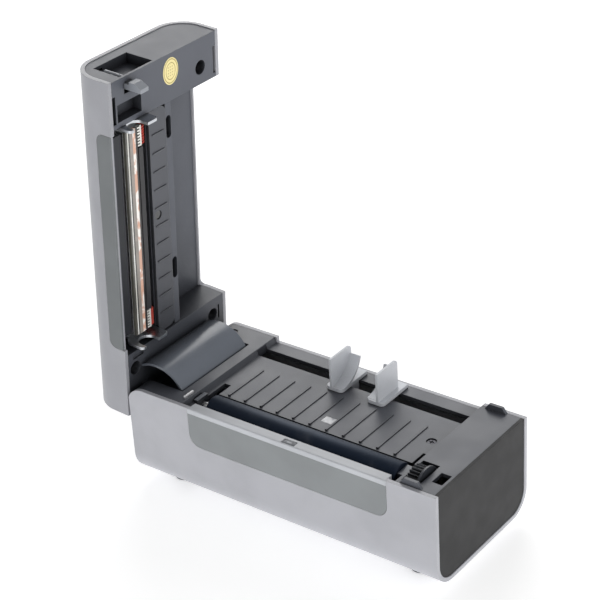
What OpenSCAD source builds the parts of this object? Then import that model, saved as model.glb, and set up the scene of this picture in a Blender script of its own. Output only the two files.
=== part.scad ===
// Thermal label printer with a hinged lid, standing open.
// The case frame has its origin at the hinge end, at the front, on the underside of the base shell:
// X runs from the hinge end to the latch end, Y from the front to the back, Z up.
// Lid pieces are drawn in their closed place and swung open about the hinge.

/* [Case] */
// Length of the case, hinge end to latch end
case_l = 200; // [198:1:206]
// Depth of the case, front to back
case_d = 87.3; // [86.5:0.1:92]
// Height of the base shell, without its feet
base_h = 57; // [56.5:0.5:60]
// Height from the seam to the lid's outer top
lid_h = 28.2; // [27.5:0.1:31]
// Wall of both shells
wall = 2.3; // [1.8:0.1:2.4]
// Gap between the closed lid and the base
seam = 0.3; // [0.2:0.05:0.5]
// Radius of the base's long lower edges
base_edge_r = 14; // [10:0.5:15]
// Radius of the lid's long upper edges
lid_edge_r = 17; // [12:0.5:18]
// Radius of the base's lower corner at the hinge end
base_end_r = 6; // [4:0.5:8]
// Radius of the lid's upper corner at the hinge end
lid_end_r = 6.5; // [4:0.5:8]
// Thickness of the dark end faces
end_t = 1.8; // [1.4:0.1:2]
// How far the end faces sit inside the rim
end_inset = 0.4; // [0.2:0.1:1]

/* [Hinge] */
// Distance of the hinge axis from the hinge end
hinge_x = 9.9; // [9.7:0.1:10.2]
// Depth of the hinge axis below the deck
hinge_drop = 10.6; // [10.3:0.1:10.8]
// Angle at which the open lid meets its stop
lid_open = 86.5; // [60:0.5:86.5]
// Diameter of the hinge pins
pin_d = 5; // [4:0.1:5.5]
// Radius of the lid's hinge lugs
lug_r = 6; // [5:0.1:6.5]
// Width of a hinge lug
lug_w = 5.4; // [4.5:0.1:6]
// Radius of the barrel that closes the gate at the hinge end
barrel_r = 9.5; // [9:0.1:9.6]
// Wall of the barrel
barrel_t = 1.5; // [1.2:0.1:2]
// Start of the cable gate in the deck, from the front
gate_y = 12; // [11.8:0.1:13]
// Distance of the cable gate's end from the back
gate_back = 16.7; // [16.3:0.1:18]

/* [Cable cover] */
// Outer radius of the curved cable cover about the hinge
cover_r = 20.6; // [20:0.1:20.8]
// Thickness of the cable cover
cover_t = 1.4; // [1:0.1:1.8]
// Gap between the cover's ends and the gate's ends
cover_gap = 1.2; // [0.6:0.1:2]
// How far the cover reaches below the hinge with the lid closed, in degrees
cover_down = 66.5; // [60:0.5:67]

/* [Media bay] */
// Start of the sunk paper bay
bay_x = 38; // [37.8:0.1:38.4]
// Distance of the paper bay's end from the latch end
bay_end = 28; // [27.6:0.1:28.4]
// Depth of the paper bay below the deck
bay_drop = 3.2; // [2.8:0.1:3.4]
// Length of the ramp at the bay's latch side
ramp_l = 2.5; // [2:0.1:3]
// Length of the ramp at the bay's hinge side
ramp_s = 1.2; // [0.8:0.1:1.6]
// Thickness of the deck
deck_t = 2.4; // [2:0.1:2.5]
// Number of ribs on the bay and on the lid's paper panel
rib_count = 11; // [9:1:11]
// Spacing of the ribs, as a share of the bay's length
rib_pitch_share = 0.0806; // [0.075:0.0001:0.0812]
// Width of a rib
rib_w = 0.6; // [0.4:0.1:1]
// Height of a rib
rib_h = 0.5; // [0.3:0.05:0.6]
// Length of a rib on the bay
rib_l = 31; // [24:1:32]
// Distance of the guide slot's front edge from the back
slot_back = 19.3; // [18.3:0.1:19.3]
// Guide slot's width
slot_w = 8.2; // [8:0.1:8.6]

/* [Platen] */
// Roller axis, from the front
roller_y = 15; // [14.9:0.1:15.2]
// Roller axis, below the deck
roller_drop = 6.7; // [6.5:0.1:6.9]
// Radius of the rubber
rubber_r = 7.8; // [7.4:0.1:7.8]
// Distance of the rubber's end from the latch end
rubber_end = 30; // [30:0.5:33]
// Start of the rubber, from the hinge end
rubber_x = 48; // [47.5:0.1:48.3]
// Radius of the platen shaft
shaft_r = 2.5; // [2:0.1:2.6]
// Radius of the trough under the roller
trough_r = 9.2; // [8.8:0.1:9.4]
// Wall of the trough
trough_t = 1.4; // [1.2:0.1:1.8]
// Radius of the bearings' round side
bearing_r = 4.5; // [4:0.1:4.8]

/* [Gear train] */
// Tooth size: pitch diameter over number of teeth
gear_m = 0.6667; // [0.655:0.001:0.68]
// Teeth on the platen gear
platen_teeth = 27; // [26:1:27]
// Teeth on the idler gear
idler_teeth = 42; // [40:1:42]
// Teeth on the motor pinion
motor_teeth = 18; // [18:1:19]
// Width of the gears
gear_w = 7.2; // [6.6:0.1:7.2]
// Gap between the teeth, along the pitch circle
tooth_gap = 0.12; // [0.08:0.02:0.16]
// Radius of the platen gear's flange
flange_r = 10.7; // [10.4:0.1:10.8]
// Thickness of the platen gear's flange
flange_t = 1.1; // [0.9:0.1:1.2]
// Side of the stepper motor's square body, as a share of the base's height
motor_side_share = 0.614; // [0.58:0.001:0.614]
// Length of the stepper motor's body
motor_l = 30; // [26:1:34]

/* [Media guides] */
// Distance of each guide wall from the middle as shown
guide_half = 15.1; // [15:0.1:16]
// Height of the guide walls above the bay
guide_h = 19.4; // [17:0.1:19.6]
// Thickness of the guide walls
guide_t = 1.4; // [1:0.1:1.6]
// Length of the guide walls
guide_wall_l = 19; // [16:0.5:19.5]
// Length of the guides' foot plates
guide_foot_l = 24; // [22:0.5:24.2]
// Teeth on the guide pinion
guide_teeth = 24; // [24:2:24]
// Outward travel of each guide
guide_out = 40; // [36:1:40]

/* [Lid] */
// Thickness of the lid's inner frame
frame_t = 2.4; // [2:0.1:2.6]
// Height of the paper funnel's roof above the seam
funnel_h = 17.2; // [17:0.1:17.4]
// Height of the head pocket's roof above the seam
pocket_h = 18; // [17.6:0.1:18.4]
// Travel of the print head into the lid
head_float = 1.2; // [0.8:0.1:1.4]
// Height of the grey panel on the lid's front
lid_panel_h = 9.1; // [8:0.1:10]
// Thickness of both grey front panels
panel_t = 1.2; // [1:0.1:1.2]
// Travel of the latch
latch_travel = 2.5; // [2.2:0.1:2.5]
// Radius of the feed button
button_r = 6.5; // [5.5:0.1:7]
// Travel of the feed button
button_travel = 0.8; // [0.5:0.1:1]

/* [Feet and fasteners] */
// Height of the feet below the shell
foot_h = 3.5; // [3:0.1:5]
// Radius of the feet
foot_r = 6; // [5:0.1:6.5]
// Radius of the screws' threaded part
screw_r = 1.5; // [1.2:0.05:1.6]
// Radius of the screws' heads
screw_head_r = 2.7; // [2.4:0.1:2.8]

/* [Hidden] */
$fn = 64;

// Clearances that the fits share: overrun of cuts, seated pieces, running fits, moving pieces
over = 1;
fit = 0.15;
run = 0.05;
gap = 0.3;

// Levels and inner faces of the base
hinge_z = base_h - hinge_drop;
bay_z = base_h - bay_drop;
bay_x1 = case_l - bay_end;
bay_l = bay_x1 - bay_x;
bay_under = bay_z - deck_t;
rib_pitch = bay_l * rib_pitch_share;
motor_side = base_h * motor_side_share;
deck_under = base_h - deck_t;
inner_y0 = wall + fit;
inner_y1 = case_d - inner_y0;
end_x = case_l - end_inset - end_t;

// Cable gate: the opening of deck and end wall that the hinge and the cable cover move in
gate_y1 = case_d - gate_back;
gate_w = gate_y1 - gate_y;
gate_x1 = hinge_x + sqrt(pow(cover_r, 2) - pow(deck_under - hinge_z, 2)) + 2 * gap;
gate_z = hinge_z - barrel_r - 2 * gap;
cover_y = gate_y + cover_gap;
cover_w = gate_w - 2 * cover_gap;

// Ears for the hinge pins
ear_w = 10.6;
ear_t = 5;
pin_r = pin_d / 2;
pin_l = ear_t + gap + lug_w;

// Fronts: grey panels, the tear bar and its lens
base_panel_in = 4.2;
base_panel_end = 1.6;
base_panel_x = bay_x + base_panel_in;
base_panel_l = bay_l - base_panel_in - base_panel_end;
base_panel_h = 23;
base_panel_r = 7;
lip_edge = 0.5;
lid_panel_r = 4.5;
label_gap = 1.1;
tear_in = 5;
tear_end = 2;
tear_x = bay_x + tear_in;
tear_l = bay_l - tear_in - tear_end;
tear_d = 6;
lens_l = 8.1;
lens_w = 3.5;
lens_t = 1;
lens_in = 66.7;
lens_rim = 0.7;
lens_x = bay_x + lens_in;
lens_y = lens_rim;

// Platen, its bearings and the slots for the head's hooks
roller_z = base_h - roller_drop;
rubber_x1 = case_l - rubber_end;
rubber_l = rubber_x1 - rubber_x;
hook_t = 1.6;
hook_in = 3.8;
hook_past = 1.5;
hook_left_x = bay_x + hook_in;
hook_right_x = rubber_x1 + hook_past;
hook_gate_y = 6.2;
hook_gate_w = 28.3;
hook_gate_drop = 6.3;
hook_gate_z = bay_z - hook_gate_drop;
hook_play = 1.3;
hook_left_x0 = hook_left_x - hook_play;
hook_left_x1 = hook_left_x + hook_t + hook_play;
hook_right_x0 = hook_right_x - hook_play;
hook_right_x1 = hook_right_x + hook_t + hook_play;
seat_w = 2;
seat_left_x = hook_left_x0 - seat_w;
seat_right_x = hook_right_x1;
seat_right_x1 = seat_right_x + seat_w;
bearing_rise = 5.2;
bearing_left_x = seat_left_x - gap;
bearing_left_l = seat_w + 2 * gap;
bearing_right_x = rubber_x1 + gap;
bearing_right_l = seat_right_x1 + gap - bearing_right_x;
shaft_proud = 0.7;
shaft_x0 = bearing_left_x - shaft_proud;
roller_gate_w = 18;
trough_w = 2 * (trough_r + trough_t);
shaft_gate_w = 6.4;

// Earth spring that rides on the shaft's end
spring_strip_t = 1.2;
spring_strip_in = 4;
spring_strip_front = 7.8;
spring_strip_x = bay_x - spring_strip_in;
spring_strip_y = roller_y - spring_strip_front;
spring_strip_w = 7.4;
spring_strip_top = 1;
spring_foot_w = 3.4;

// Gear train, all gears in one plane
gear_gap = 0.5;
gear_x = seat_right_x1 + gear_gap;
gear_x1 = gear_x + gear_w;
flange_x1 = gear_x1 + flange_t;
gear_gate_gap = 1.2;
gear_gate_x1 = flange_x1 + gear_gate_gap;
gear_gate_w = 20.2;
pressure = 25;
root_share = 1.25;
flank_steps = 4;
idler_fall = 38.5;
motor_low_share = 0.3542;
idler_far = gear_m * (platen_teeth + idler_teeth) / 2;
motor_far = gear_m * (idler_teeth + motor_teeth) / 2;
idler_y = roller_y + idler_far * cos(idler_fall);
idler_z = roller_z - idler_far * sin(idler_fall);
motor_lowest = wall + motor_side / 2;
motor_z = motor_lowest + motor_low_share * (idler_z - motor_lowest);
motor_fall = asin((idler_z - motor_z) / motor_far);
motor_y = idler_y + motor_far * cos(motor_fall);
platen_turn = -idler_fall;
idler_turn = 180 - idler_fall + 180 / idler_teeth;
idler_share = (-motor_fall - idler_turn) * idler_teeth / 360;
motor_turn = 180 - motor_fall + (idler_share + 1 / 2) * 360 / motor_teeth;
gear_side_gap = 0.2;
idler_pin_r = 2;
idler_collar_r = 3;
pin_head_t = 1.2;
motor_shaft_r = 2.5;
motor_in = 2.2;

// Steel plate between motor and gears
plate_t = 1.8;
plate_gap = 3.2;
plate_in = 11;
plate_drop = 2.4;
plate_x = gear_x - plate_gap - plate_t;
plate_y = roller_y + plate_in;
plate_back = 12.85;
plate_l = inner_y1 - plate_back - plate_y;
plate_top = bay_under - plate_drop;
plate_r = 3;
plate_tab_l = 8.4;
plate_tab_in = 27;
plate_tab_w = 8;
plate_tab_y = roller_y + plate_tab_in;
tab_screw_x = plate_x - plate_tab_l / 2;
tab_screw_y = plate_tab_y + plate_tab_w / 2;
motor_hole_r = 5;
motor_edge_r = 3;

// Posts, screws and feet
post_r = 3.6;
post_low = 44;
post_hole_r = screw_r + fit;
head_hole_r = screw_head_r + fit;
screw_head_t = 1;
screw_head_sunk = 1.4;
screw_l = 10;
post_front_in = 5.2;
post_back_in = 7.55;
post_hinge_in = 8;
post_end_in = 7.8;
post_mid_in = 5.8;
post_mid_back = 15;
post_front_y = inner_y0 + post_front_in;
post_back_y = inner_y1 - post_back_in;
post_mid_y = roller_y + post_mid_back;
post_hinge_x = bay_x - post_hinge_in;
post_back_x = end_x - post_end_in;
post_mid_x = end_x - post_mid_in;
post_spots = [[post_hinge_x, post_front_y], [post_back_x, post_back_y], [post_mid_x, post_mid_y]];
top_screw_in = 2.7;
top_screw_x = hinge_x + top_screw_in;
foot_in = 3;
foot_side = base_edge_r + foot_in;
foot_end = 21;
foot_sunk = 1;

// Main board, its sockets and its switch on the back wall
board_in = 8;
board_x = bay_x - board_in;
board_motor_gap = 16.9;
board_l = plate_x - motor_l - board_motor_gap - board_x;
board_w = 56;
board_z = 14;
board_t = 1.6;
board_back = 5.3;
board_y1 = case_d - board_back;
board_y = board_y1 - board_w;
board_hole_in = 4;
board_hole_spots = [
  [board_x + board_hole_in, board_y + board_hole_in], [board_x + board_l - board_hole_in,
    board_y + board_hole_in],
  [board_x + board_hole_in, board_y1 - board_hole_in],
  [board_x + board_l - board_hole_in, board_y1 - board_hole_in]
];
standoff_r = 3;
dc_in = 1;
dc_x = bay_x - dc_in;
dc_w = 9;
dc_h = 11;
dc_l = 14;
dc_r = 3;
dc_pin_r = 1;
mouth_share = 0.7;
tongue_share = 0.55;
usb_pitch = 18;
usb_x = dc_x + usb_pitch;
usb_w = 12;
usb_h = 11;
usb_l = 16;
usb_wall = 1;
usb_tongue = 3;
switch_pitch = 24;
switch_x = usb_x + switch_pitch;
switch_w = 19.4;
switch_h = 13.4;
switch_z = 20;
switch_l = 14;
switch_rim = 1;
switch_wall = 1.4;
rocker_r = 7.2;
rocker_low = 3.6;
rocker_dip = 2.2;
rocker_high = 5;
rocker_skirt = 1;
rocker_in = 4;
rocker_pin_r = 1.2;
chip_l = 14;
chip_t = 1.6;
chip_spots = [board_x + 2 * chip_l, board_x + board_l / 2 + chip_l / 2];
cap_r = 4;
cap_pitch = 24;
cap_spots = [board_x + board_l - cap_pitch / 2, board_x + board_l - 3 * cap_pitch / 2];
cap_h = 10;
plug_l = 12;
plug_w = 6;
plug_h = 7;

// Gap sensor in the bay
window_l = 6.8;
window_w = 5.5;
window_t = 1.6;
window_in = 69.4;
window_back = 16.5;
window_x = bay_x + window_in;
window_y = roller_y + window_back;
window_rim = 0.6;
sensor_board_l = 21;
sensor_board_w = 12;
sensor_board_t = 1.6;
sensor_board_drop = 2.4;
sensor_board_z = bay_under - sensor_board_drop;
sensor_post_share = 0.4;
rib_in = 12.3;
rib_back = 10.2;
rib_x = bay_x + rib_in;
rib_y = roller_y + rib_back;
nub_l = 1.4;

// Locating tabs that enter slits of the lid
tab_h = 3.4;
tab_t = 1.8;
tab_long = 13;
tab_slope = 2.5;
tab_in = 20.8;
tab_x = end_x - tab_in;
tab_front_y = inner_y0 + fit;
tab_back_y = inner_y1 - fit - tab_t;
slit_gap = 1.2;

// Latch and the hole that it enters
latch_front = 3;
latch_in = 4.9;
latch_drop = 10.5;
latch_y = roller_y - latch_front;
latch_w = 6;
latch_t = 3.1;
latch_x = end_x - latch_in;
latch_low = base_h - latch_drop;
latch_catch = 1.4;
latch_nose_h = 3.4;
latch_tip_share = 0.7;
latch_top = 20;
latch_hole_x = latch_x - latch_travel - fit;
latch_hole_x1 = latch_x + latch_t + gap;
latch_side = 0.6;
latch_back = 2.6;
thumb_w = 3;
thumb_z = 1.6;
thumb_h = 12;
thumb_reach = 1.9;
latch_spring_r = 3.3;
latch_spring_hole = 2.3;
latch_spring_l = 11.4;
latch_spring_z = 16.7;
spring_block_l = 8;
spring_block_w = 9;

// Media guides and their rack and pinion
guide_mid_in = 71.6;
guide_front = 8.8;
guide_lift = 0.2;
guide_mid = bay_x + guide_mid_in;
slot_y = case_d - slot_back;
guide_y = slot_y - guide_front;
guide_z = bay_z + guide_lift;
foot_plate_t = 2;
foot_plate_in = 6.5;
foot_plate_out = 3;
foot_plate_r = 2.5;
fin_r = 18;
fin_t = 1.2;
fin_w = 6.6;
fin_front = 1.3;
fin_turn = 75;
guide_pitch_r = gear_m * guide_teeth / 2;
rack_pitch = PI * gear_m;
rack_back = 3;
rack_t = 3.5;
rack_drop = 6.4;
rack_z = bay_under - rack_drop;
rack_end = 9.4;
pinion_y = slot_y - guide_pitch_r;
stem_w = 4;
stem_in = 2.5;
rack_l = guide_half - stem_in + guide_out + rack_end;
stem_y = slot_y + gap;
stem_l = slot_w - 2 * gap;
arm_gap = 0.5;
arm_z = rack_z + rack_t + arm_gap;
arm_top = bay_under - gap;
pinion_boss_r = 4;
pinion_screw_r = 2;
pinion_screw_head_r = 4;
pinion_head_t = 1.3;

// Lid, in its closed place
lid_z = base_h + seam;
lid_top = base_h + lid_h;
cell_in = 0.2;
cell_out = 1.4;
cell_x = bay_x + cell_in;
cell_x1 = bay_x1 + cell_out;
cell_wall = 1.6;
open_reach = (hinge_x - lid_end_r) * cos(lid_open) + (lid_top - lid_end_r - hinge_z) * sin(lid_open)
  + lid_end_r - hinge_x;
origin_x = (case_l - open_reach) / 2;
origin_y = (case_d + switch_rim) / 2;
funnel_z = lid_z + funnel_h;
funnel_t = 1.8;
funnel_back = 43.4;
ridge_back = 33.2;
strip_w = 4.6;
ridge_rise = 1.3;
funnel_y = roller_y + funnel_back;
ridge_y = roller_y + ridge_back;
strip_y = ridge_y - strip_w;
ridge_z = lid_z + ridge_rise;
pocket_z = lid_z + pocket_h;
pocket_back = 14.2;
pocket_y1 = roller_y + pocket_back;
pocket_t = 1.6;
shelf_rise = 3;
shelf_z = lid_z + shelf_rise;
bar_in = 1;
bar_end = 2;
bar_front = 5.5;
bar_rise = 2.2;
bar_x = rubber_x + bar_in;
bar_x1 = rubber_x1 - bar_end;
bar_y1 = roller_y - bar_front;
bar_z = lid_z + bar_rise;
cut_r = 3;
recess_gap = 0.8;
recess_x = gear_x - 2 * gap;
recess_x1 = flange_x1 + recess_gap;
recess_w = 18.4;
recess_y = roller_y - recess_w / 2;
recess_h = 6.2;
recess_wall = 1.2;
scoop_in = 3.9;
scoop_back = 2;
scoop_x = end_x - scoop_in;
scoop_y = roller_y + scoop_back;
scoop_w = 18.8;
scoop_h = 17.5;
thumb_gate_gap = 1.6;
thumb_gate_y = latch_y - thumb_gate_gap;
socket_r = 5.2;
socket_hole_r = 4;
socket_h = 8.7;
socket_floor = 2;
socket_in = 9.7;
socket_front_in = 10.2;
socket_end_in = 14.7;
socket_back = 12.2;
socket_front = 7.85;
socket_end_back = 15.4;
socket_spots = [
  [bay_x - socket_in, case_d - socket_back], [bay_x - socket_front_in, socket_front],
  [end_x - socket_end_in, case_d - socket_end_back]
];
slot_in = 28.7;
slot_pitch = 85.2;
slot_spots = [bay_x + slot_in, bay_x + slot_in + slot_pitch];
slot_hole_l = 13;
slot_hole_r = 1.95;
slot_hole_in = 2.3;
slot_hole_y = ridge_y - slot_hole_in;
hinge_slit_in = 14.4;
hinge_slit_x = bay_x - hinge_slit_in;
hinge_slit_l = 9;
hinge_slit_w = 1.2;
web_w = 11.4;
barrel_from = 95;
barrel_to = 205;
barrel_neck = 2;
paper_gap = 0.8;
paper_back = 15;
paper_x = cell_x + paper_gap;
paper_l = cell_x1 - cell_x - 2 * paper_gap;
paper_y = roller_y + paper_back;
paper_w = 13.4;
paper_rib_share = 0.7;
paper_r = 4;
paper_rise = 1;
paper_z = lid_z + paper_rise;
emitter_r = 2.4;
emitter_x = window_x + window_l / 2;
emitter_y = window_y + window_w / 2;
sticker_l = 15;
sticker_w = 12;
sticker_t = 0.15;
sticker_in = 8.1;
sticker_back = 33;
sticker_x = end_x - sticker_in;
sticker_y = roller_y + sticker_back;
sticker_steps = 48;

// Feed button and status light on the lid's outer top
button_in = 17.8;
button_x = end_x - button_in;
button_y = case_d / 2;
button_proud = 0.7;
button_rim = 1.3;
button_rim_t = 1.4;
button_board_drop = 7.8;
button_board_z = lid_top - button_board_drop;
button_board_l = 24;
button_board_w = 25;
button_board_share = 0.7;
light_pitch = 13;
light_x = button_x - light_pitch;
light_r = 1.5;
board_post_r = 2;

// Print head, in its closed place
head_in = 2;
head_end = 2;
head_x = rubber_x - head_in;
head_x1 = rubber_x1 - head_end;
head_l = head_x1 - head_x;
head_gap = 0.2;
head_front = 3.5;
head_z = roller_z + rubber_r + head_gap;
head_y = roller_y - head_front;
ceramic_w = 9.2;
ceramic_t = 1.7;
sink_w = 12;
sink_t = 6;
sink_groove = 2;
bracket_t = 1.5;
bracket_front = 5;
bracket_y = roller_y - bracket_front;
bracket_w = 18.7;
bracket_z = head_z + ceramic_t + sink_t;
cover_in = 12;
cover_depth = 3.2;
cover_proud = 0.4;
plug_y = head_y + ceramic_w + gap;
wire_count = 8;
wire_r = 0.5;
wire_pitch = 1.5;
wire_out = 2.2;
wire_h = 12;
hook_out = 8;
hook_y = roller_y - hook_out;
hook_w = 21.6;
hook_tip_drop = 3.8;
hook_tip_z = bay_z - hook_tip_drop;
hook_tip_r = 2.4;
hook_mouth_r = 5.25;
hook_mouth_z = roller_z + bearing_rise - 2;
hook_shoulder = 6;
hook_arm_out = 4;
hook_arm_y = roller_y - hook_arm_out;
coil_r = 3.8;
coil_hole = 2.8;
coil_in = 27;
coil_end = 30;
coil_spots = [rubber_x + coil_in, rubber_x1 - coil_end];
coil_off = 0.12;
coil_y = roller_y + coil_off;
boss_r = 5.4;
boss_h = 5;
coil_l = pocket_z + boss_h - pocket_t - head_float - gap - bracket_z - bracket_t;
head_pin_in = 12;
head_pin_end = 18;
head_pin_back = 11.2;
head_pin_spots = [rubber_x + head_pin_in, rubber_x1 - head_pin_end];
head_pin_y = roller_y + head_pin_back;
head_pin_r = 1.5;
head_pin_head_r = 2.5;
head_pin_boss_r = 3;

// Frames of reference
module in_case() translate([-origin_x, -origin_y, foot_h]) children();
module swung_open() translate([hinge_x, 0, hinge_z]) rotate([0, -lid_open, 0])
  translate([-hinge_x, 0, -hinge_z]) children();
module on_lid() in_case() swung_open() children();

// Solids along the axes
module box(at, size) translate(at) cube(size);
module along_x(x, l) translate([x, 0, 0]) rotate([90, 0, 90]) linear_extrude(l) children();
module along_y(y, l) translate([0, y + l, 0]) rotate([90, 0, 0]) linear_extrude(l) children();
module along_z(z, l) translate([0, 0, z]) linear_extrude(l) children();
module rod_x(x, l, y, z, r) along_x(x, l) translate([y, z]) circle(r);
module rod_y(y, l, x, z, r) along_y(y, l) translate([x, z]) circle(r);
module rod_z(z, l, x, y, r) along_z(z, l) translate([x, y]) circle(r);

// What a round cutter of radius r leaves of a square corner at the origin
module corner_waste(r) difference() {
  translate([-over, -over]) square(r + over);
  translate([r, r]) circle(r);
}

// Rectangle with its own radius at each corner, from the lower left one round
module rounded(size, radii) difference() {
  square(size);
  if (radii[0] > 0) corner_waste(radii[0]);
  if (radii[1] > 0) translate([size[0], 0]) mirror([1, 0]) corner_waste(radii[1]);
  if (radii[2] > 0) translate(size) rotate(180) corner_waste(radii[2]);
  if (radii[3] > 0) translate([0, size[1]]) mirror([0, 1]) corner_waste(radii[3]);
}

// Part of a ring about the origin, between two angles less than half a turn apart
module ring_part(r, t, from, to) intersection() {
  difference() {
    circle(r);
    circle(r - t);
  }
  polygon([
    [0, 0], 2 * r * [cos(from), sin(from)],
    2 * r * [cos((from + to) / 2), sin((from + to) / 2)], 2 * r * [cos(to), sin(to)]
  ]);
}

// Involute gear outline: half the angle of a tooth at a radius, and the tooth's points
function involute(a) = tan(a) * 180 / PI - a;
function tooth_half(teeth, r) =
  let (pitch_r = gear_m * teeth / 2)
  let (base_r = pitch_r * cos(pressure))
  let (at = acos(min(1, base_r / max(r, base_r))))
  90 / teeth - tooth_gap * 90 / (PI * pitch_r) + involute(pressure) - involute(at);
function tooth_points(teeth, turn) =
  let (root_r = gear_m * (teeth / 2 - root_share))
  let (tip_r = gear_m * (teeth / 2 + 1))
  let (low_r = max(root_r, gear_m * teeth / 2 * cos(pressure)))
  let (flank = concat([root_r], [for (i = [0:flank_steps]) low_r + (tip_r - low_r) * i / flank_steps]))
  concat(
    [for (i = [0:len(flank) - 1]) flank[i] * [cos(turn - tooth_half(teeth, flank[i])),
      sin(turn - tooth_half(teeth, flank[i]))]],
    [for (i = [len(flank) - 1:-1:0]) flank[i] * [cos(turn + tooth_half(teeth, flank[i])),
      sin(turn + tooth_half(teeth, flank[i]))]]
  );
module gear_outline(teeth, turn)
  polygon([for (k = [0:teeth - 1]) each tooth_points(teeth, turn + k * 360 / teeth)]);

// Rack teeth that point down from the pitch line y = 0, in mesh with a pinion over guide_mid
module rack_teeth(x0, x1) {
  half = rack_pitch / 4 - tooth_gap / 2;
  tip = half - gear_m * tan(pressure);
  root = half + root_share * gear_m * tan(pressure);
  from = ceil((x0 + root - guide_mid) / rack_pitch - 1 / 2);
  to = floor((x1 - root - guide_mid) / rack_pitch - 1 / 2);
  for (k = [from:to])
    translate([guide_mid + (k + 1 / 2) * rack_pitch, 0])
      polygon([[-tip, -gear_m], [tip, -gear_m], [root, root_share * gear_m], [-root, root_share * gear_m]]);
}

// Body of the base shell, drawn in by a wall and raised above the seam
module base_body(inset, rise) intersection() {
  along_x(inset, case_l - inset + rise) translate([inset, inset])
    rounded([case_d - 2 * inset, base_h - inset + rise], [base_edge_r - inset, base_edge_r - inset, 0, 0]);
  along_y(0, case_d) translate([inset, inset])
    rounded([case_l - inset + rise, base_h - inset + rise], [base_end_r - inset, 0, 0, 0]);
}

// Space that the lid's corner sweeps beside the hinge
module lid_sweep() difference() {
  box([-over, -over, hinge_z], [hinge_x + over, case_d + 2 * over, hinge_drop + over]);
  rod_y(-2 * over, case_d + 4 * over, hinge_x, hinge_z, hinge_drop);
}

// Cable gate through the deck and the end wall
module cable_gate(z) box([-over, gate_y, z], [gate_x1 + over, gate_w, base_h]);

// Shallow recess of a grey front panel
module panel_recess(x, z, l, h, radii) along_y(-over, over + panel_t)
  translate([x, z]) rounded([l, h], radii);

// Sockets' openings in the back wall
module back_opening(x, w, z, h) box([x - fit, case_d - wall - over, z - fit],
  [w + 2 * fit, wall + 2 * over, h + 2 * fit]);

module base_shell() color("#b9babd") in_case() difference() {
  union() {
    difference() {
      base_body(0, 0);
      base_body(wall, over);
    }
    intersection() {
      base_body(wall / 2, over);
      union() {
        for (y = [gate_y - ear_t, gate_y1]) {
          box([hinge_x - ear_w / 2, y, 0], [ear_w, ear_t, hinge_z]);
          rod_y(y, ear_t, hinge_x, hinge_z, ear_w / 2);
        }
        for (p = post_spots) rod_z(0, post_low, p[0], p[1], post_r);
        rod_z(0, deck_under, top_screw_x, post_back_y, post_r);
        for (p = board_hole_spots) rod_z(0, board_z, p[0], p[1], standoff_r);
      }
    }
  }
  lid_sweep();
  cable_gate(gate_z);
  box([bay_x, case_d - wall - over, bay_z], [bay_l + ramp_l, wall + 2 * over, bay_drop + over]);
  box([tear_x, -over, bay_z], [tear_l, wall + 2 * over, bay_drop + over]);
  panel_recess(base_panel_x - fit, base_h - base_panel_h - fit, base_panel_l + 2 * fit,
    base_panel_h + fit + over, [base_panel_r, base_panel_r, 0, 0]);
  for (y = [gate_y - ear_t, gate_y1]) rod_y(y - over, ear_t + 2 * over, hinge_x, hinge_z, pin_r + run);
  for (p = post_spots) {
    rod_z(-over, post_low - screw_head_sunk - wall + over, p[0], p[1], head_hole_r);
    rod_z(0, base_h, p[0], p[1], post_hole_r);
  }
  rod_z(base_h - screw_head_sunk - screw_l - over, base_h, top_screw_x, post_back_y, post_hole_r);
  for (p = board_hole_spots) rod_z(board_z - screw_l / 2 - gap, screw_l, p[0], p[1], post_hole_r);
  for (x = [foot_end, case_l - foot_end])
    for (y = [foot_side, case_d - foot_side]) rod_z(-over, over + foot_sunk, x, y, foot_r + fit);
  back_opening(dc_x, dc_w, board_z + board_t, dc_h);
  back_opening(usb_x, usb_w, board_z + board_t, usb_h);
  back_opening(switch_x, switch_w, switch_z, switch_h);
}

// Deck's long section, from the hinge end to the end panel
module deck_section() polygon([
  [inner_y0, deck_under], [inner_y0, base_h], [bay_x - ramp_s, base_h], [bay_x, bay_z], [bay_x1, bay_z],
  [bay_x1 + ramp_l, base_h], [end_x, base_h], [end_x, deck_under], [bay_x1 + ramp_l, deck_under],
  [bay_x1, bay_under], [bay_x - ramp_s, bay_under], [bay_x - ramp_s - deck_t, deck_under]
]);

// Locating tab with sloping ends
module locating_tab(y) along_y(y, tab_t) translate([tab_x, base_h - over]) polygon([
  [0, 0], [tab_long, 0], [tab_long, over], [tab_long - tab_slope, over + tab_h],
  [tab_slope, over + tab_h], [0, over]
]);

// Bearing's outline: round below, square above
module bearing_outline(r, top) {
  translate([roller_y, roller_z]) circle(r);
  translate([roller_y - r, roller_z]) square([2 * r, top - roller_z]);
}

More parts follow.
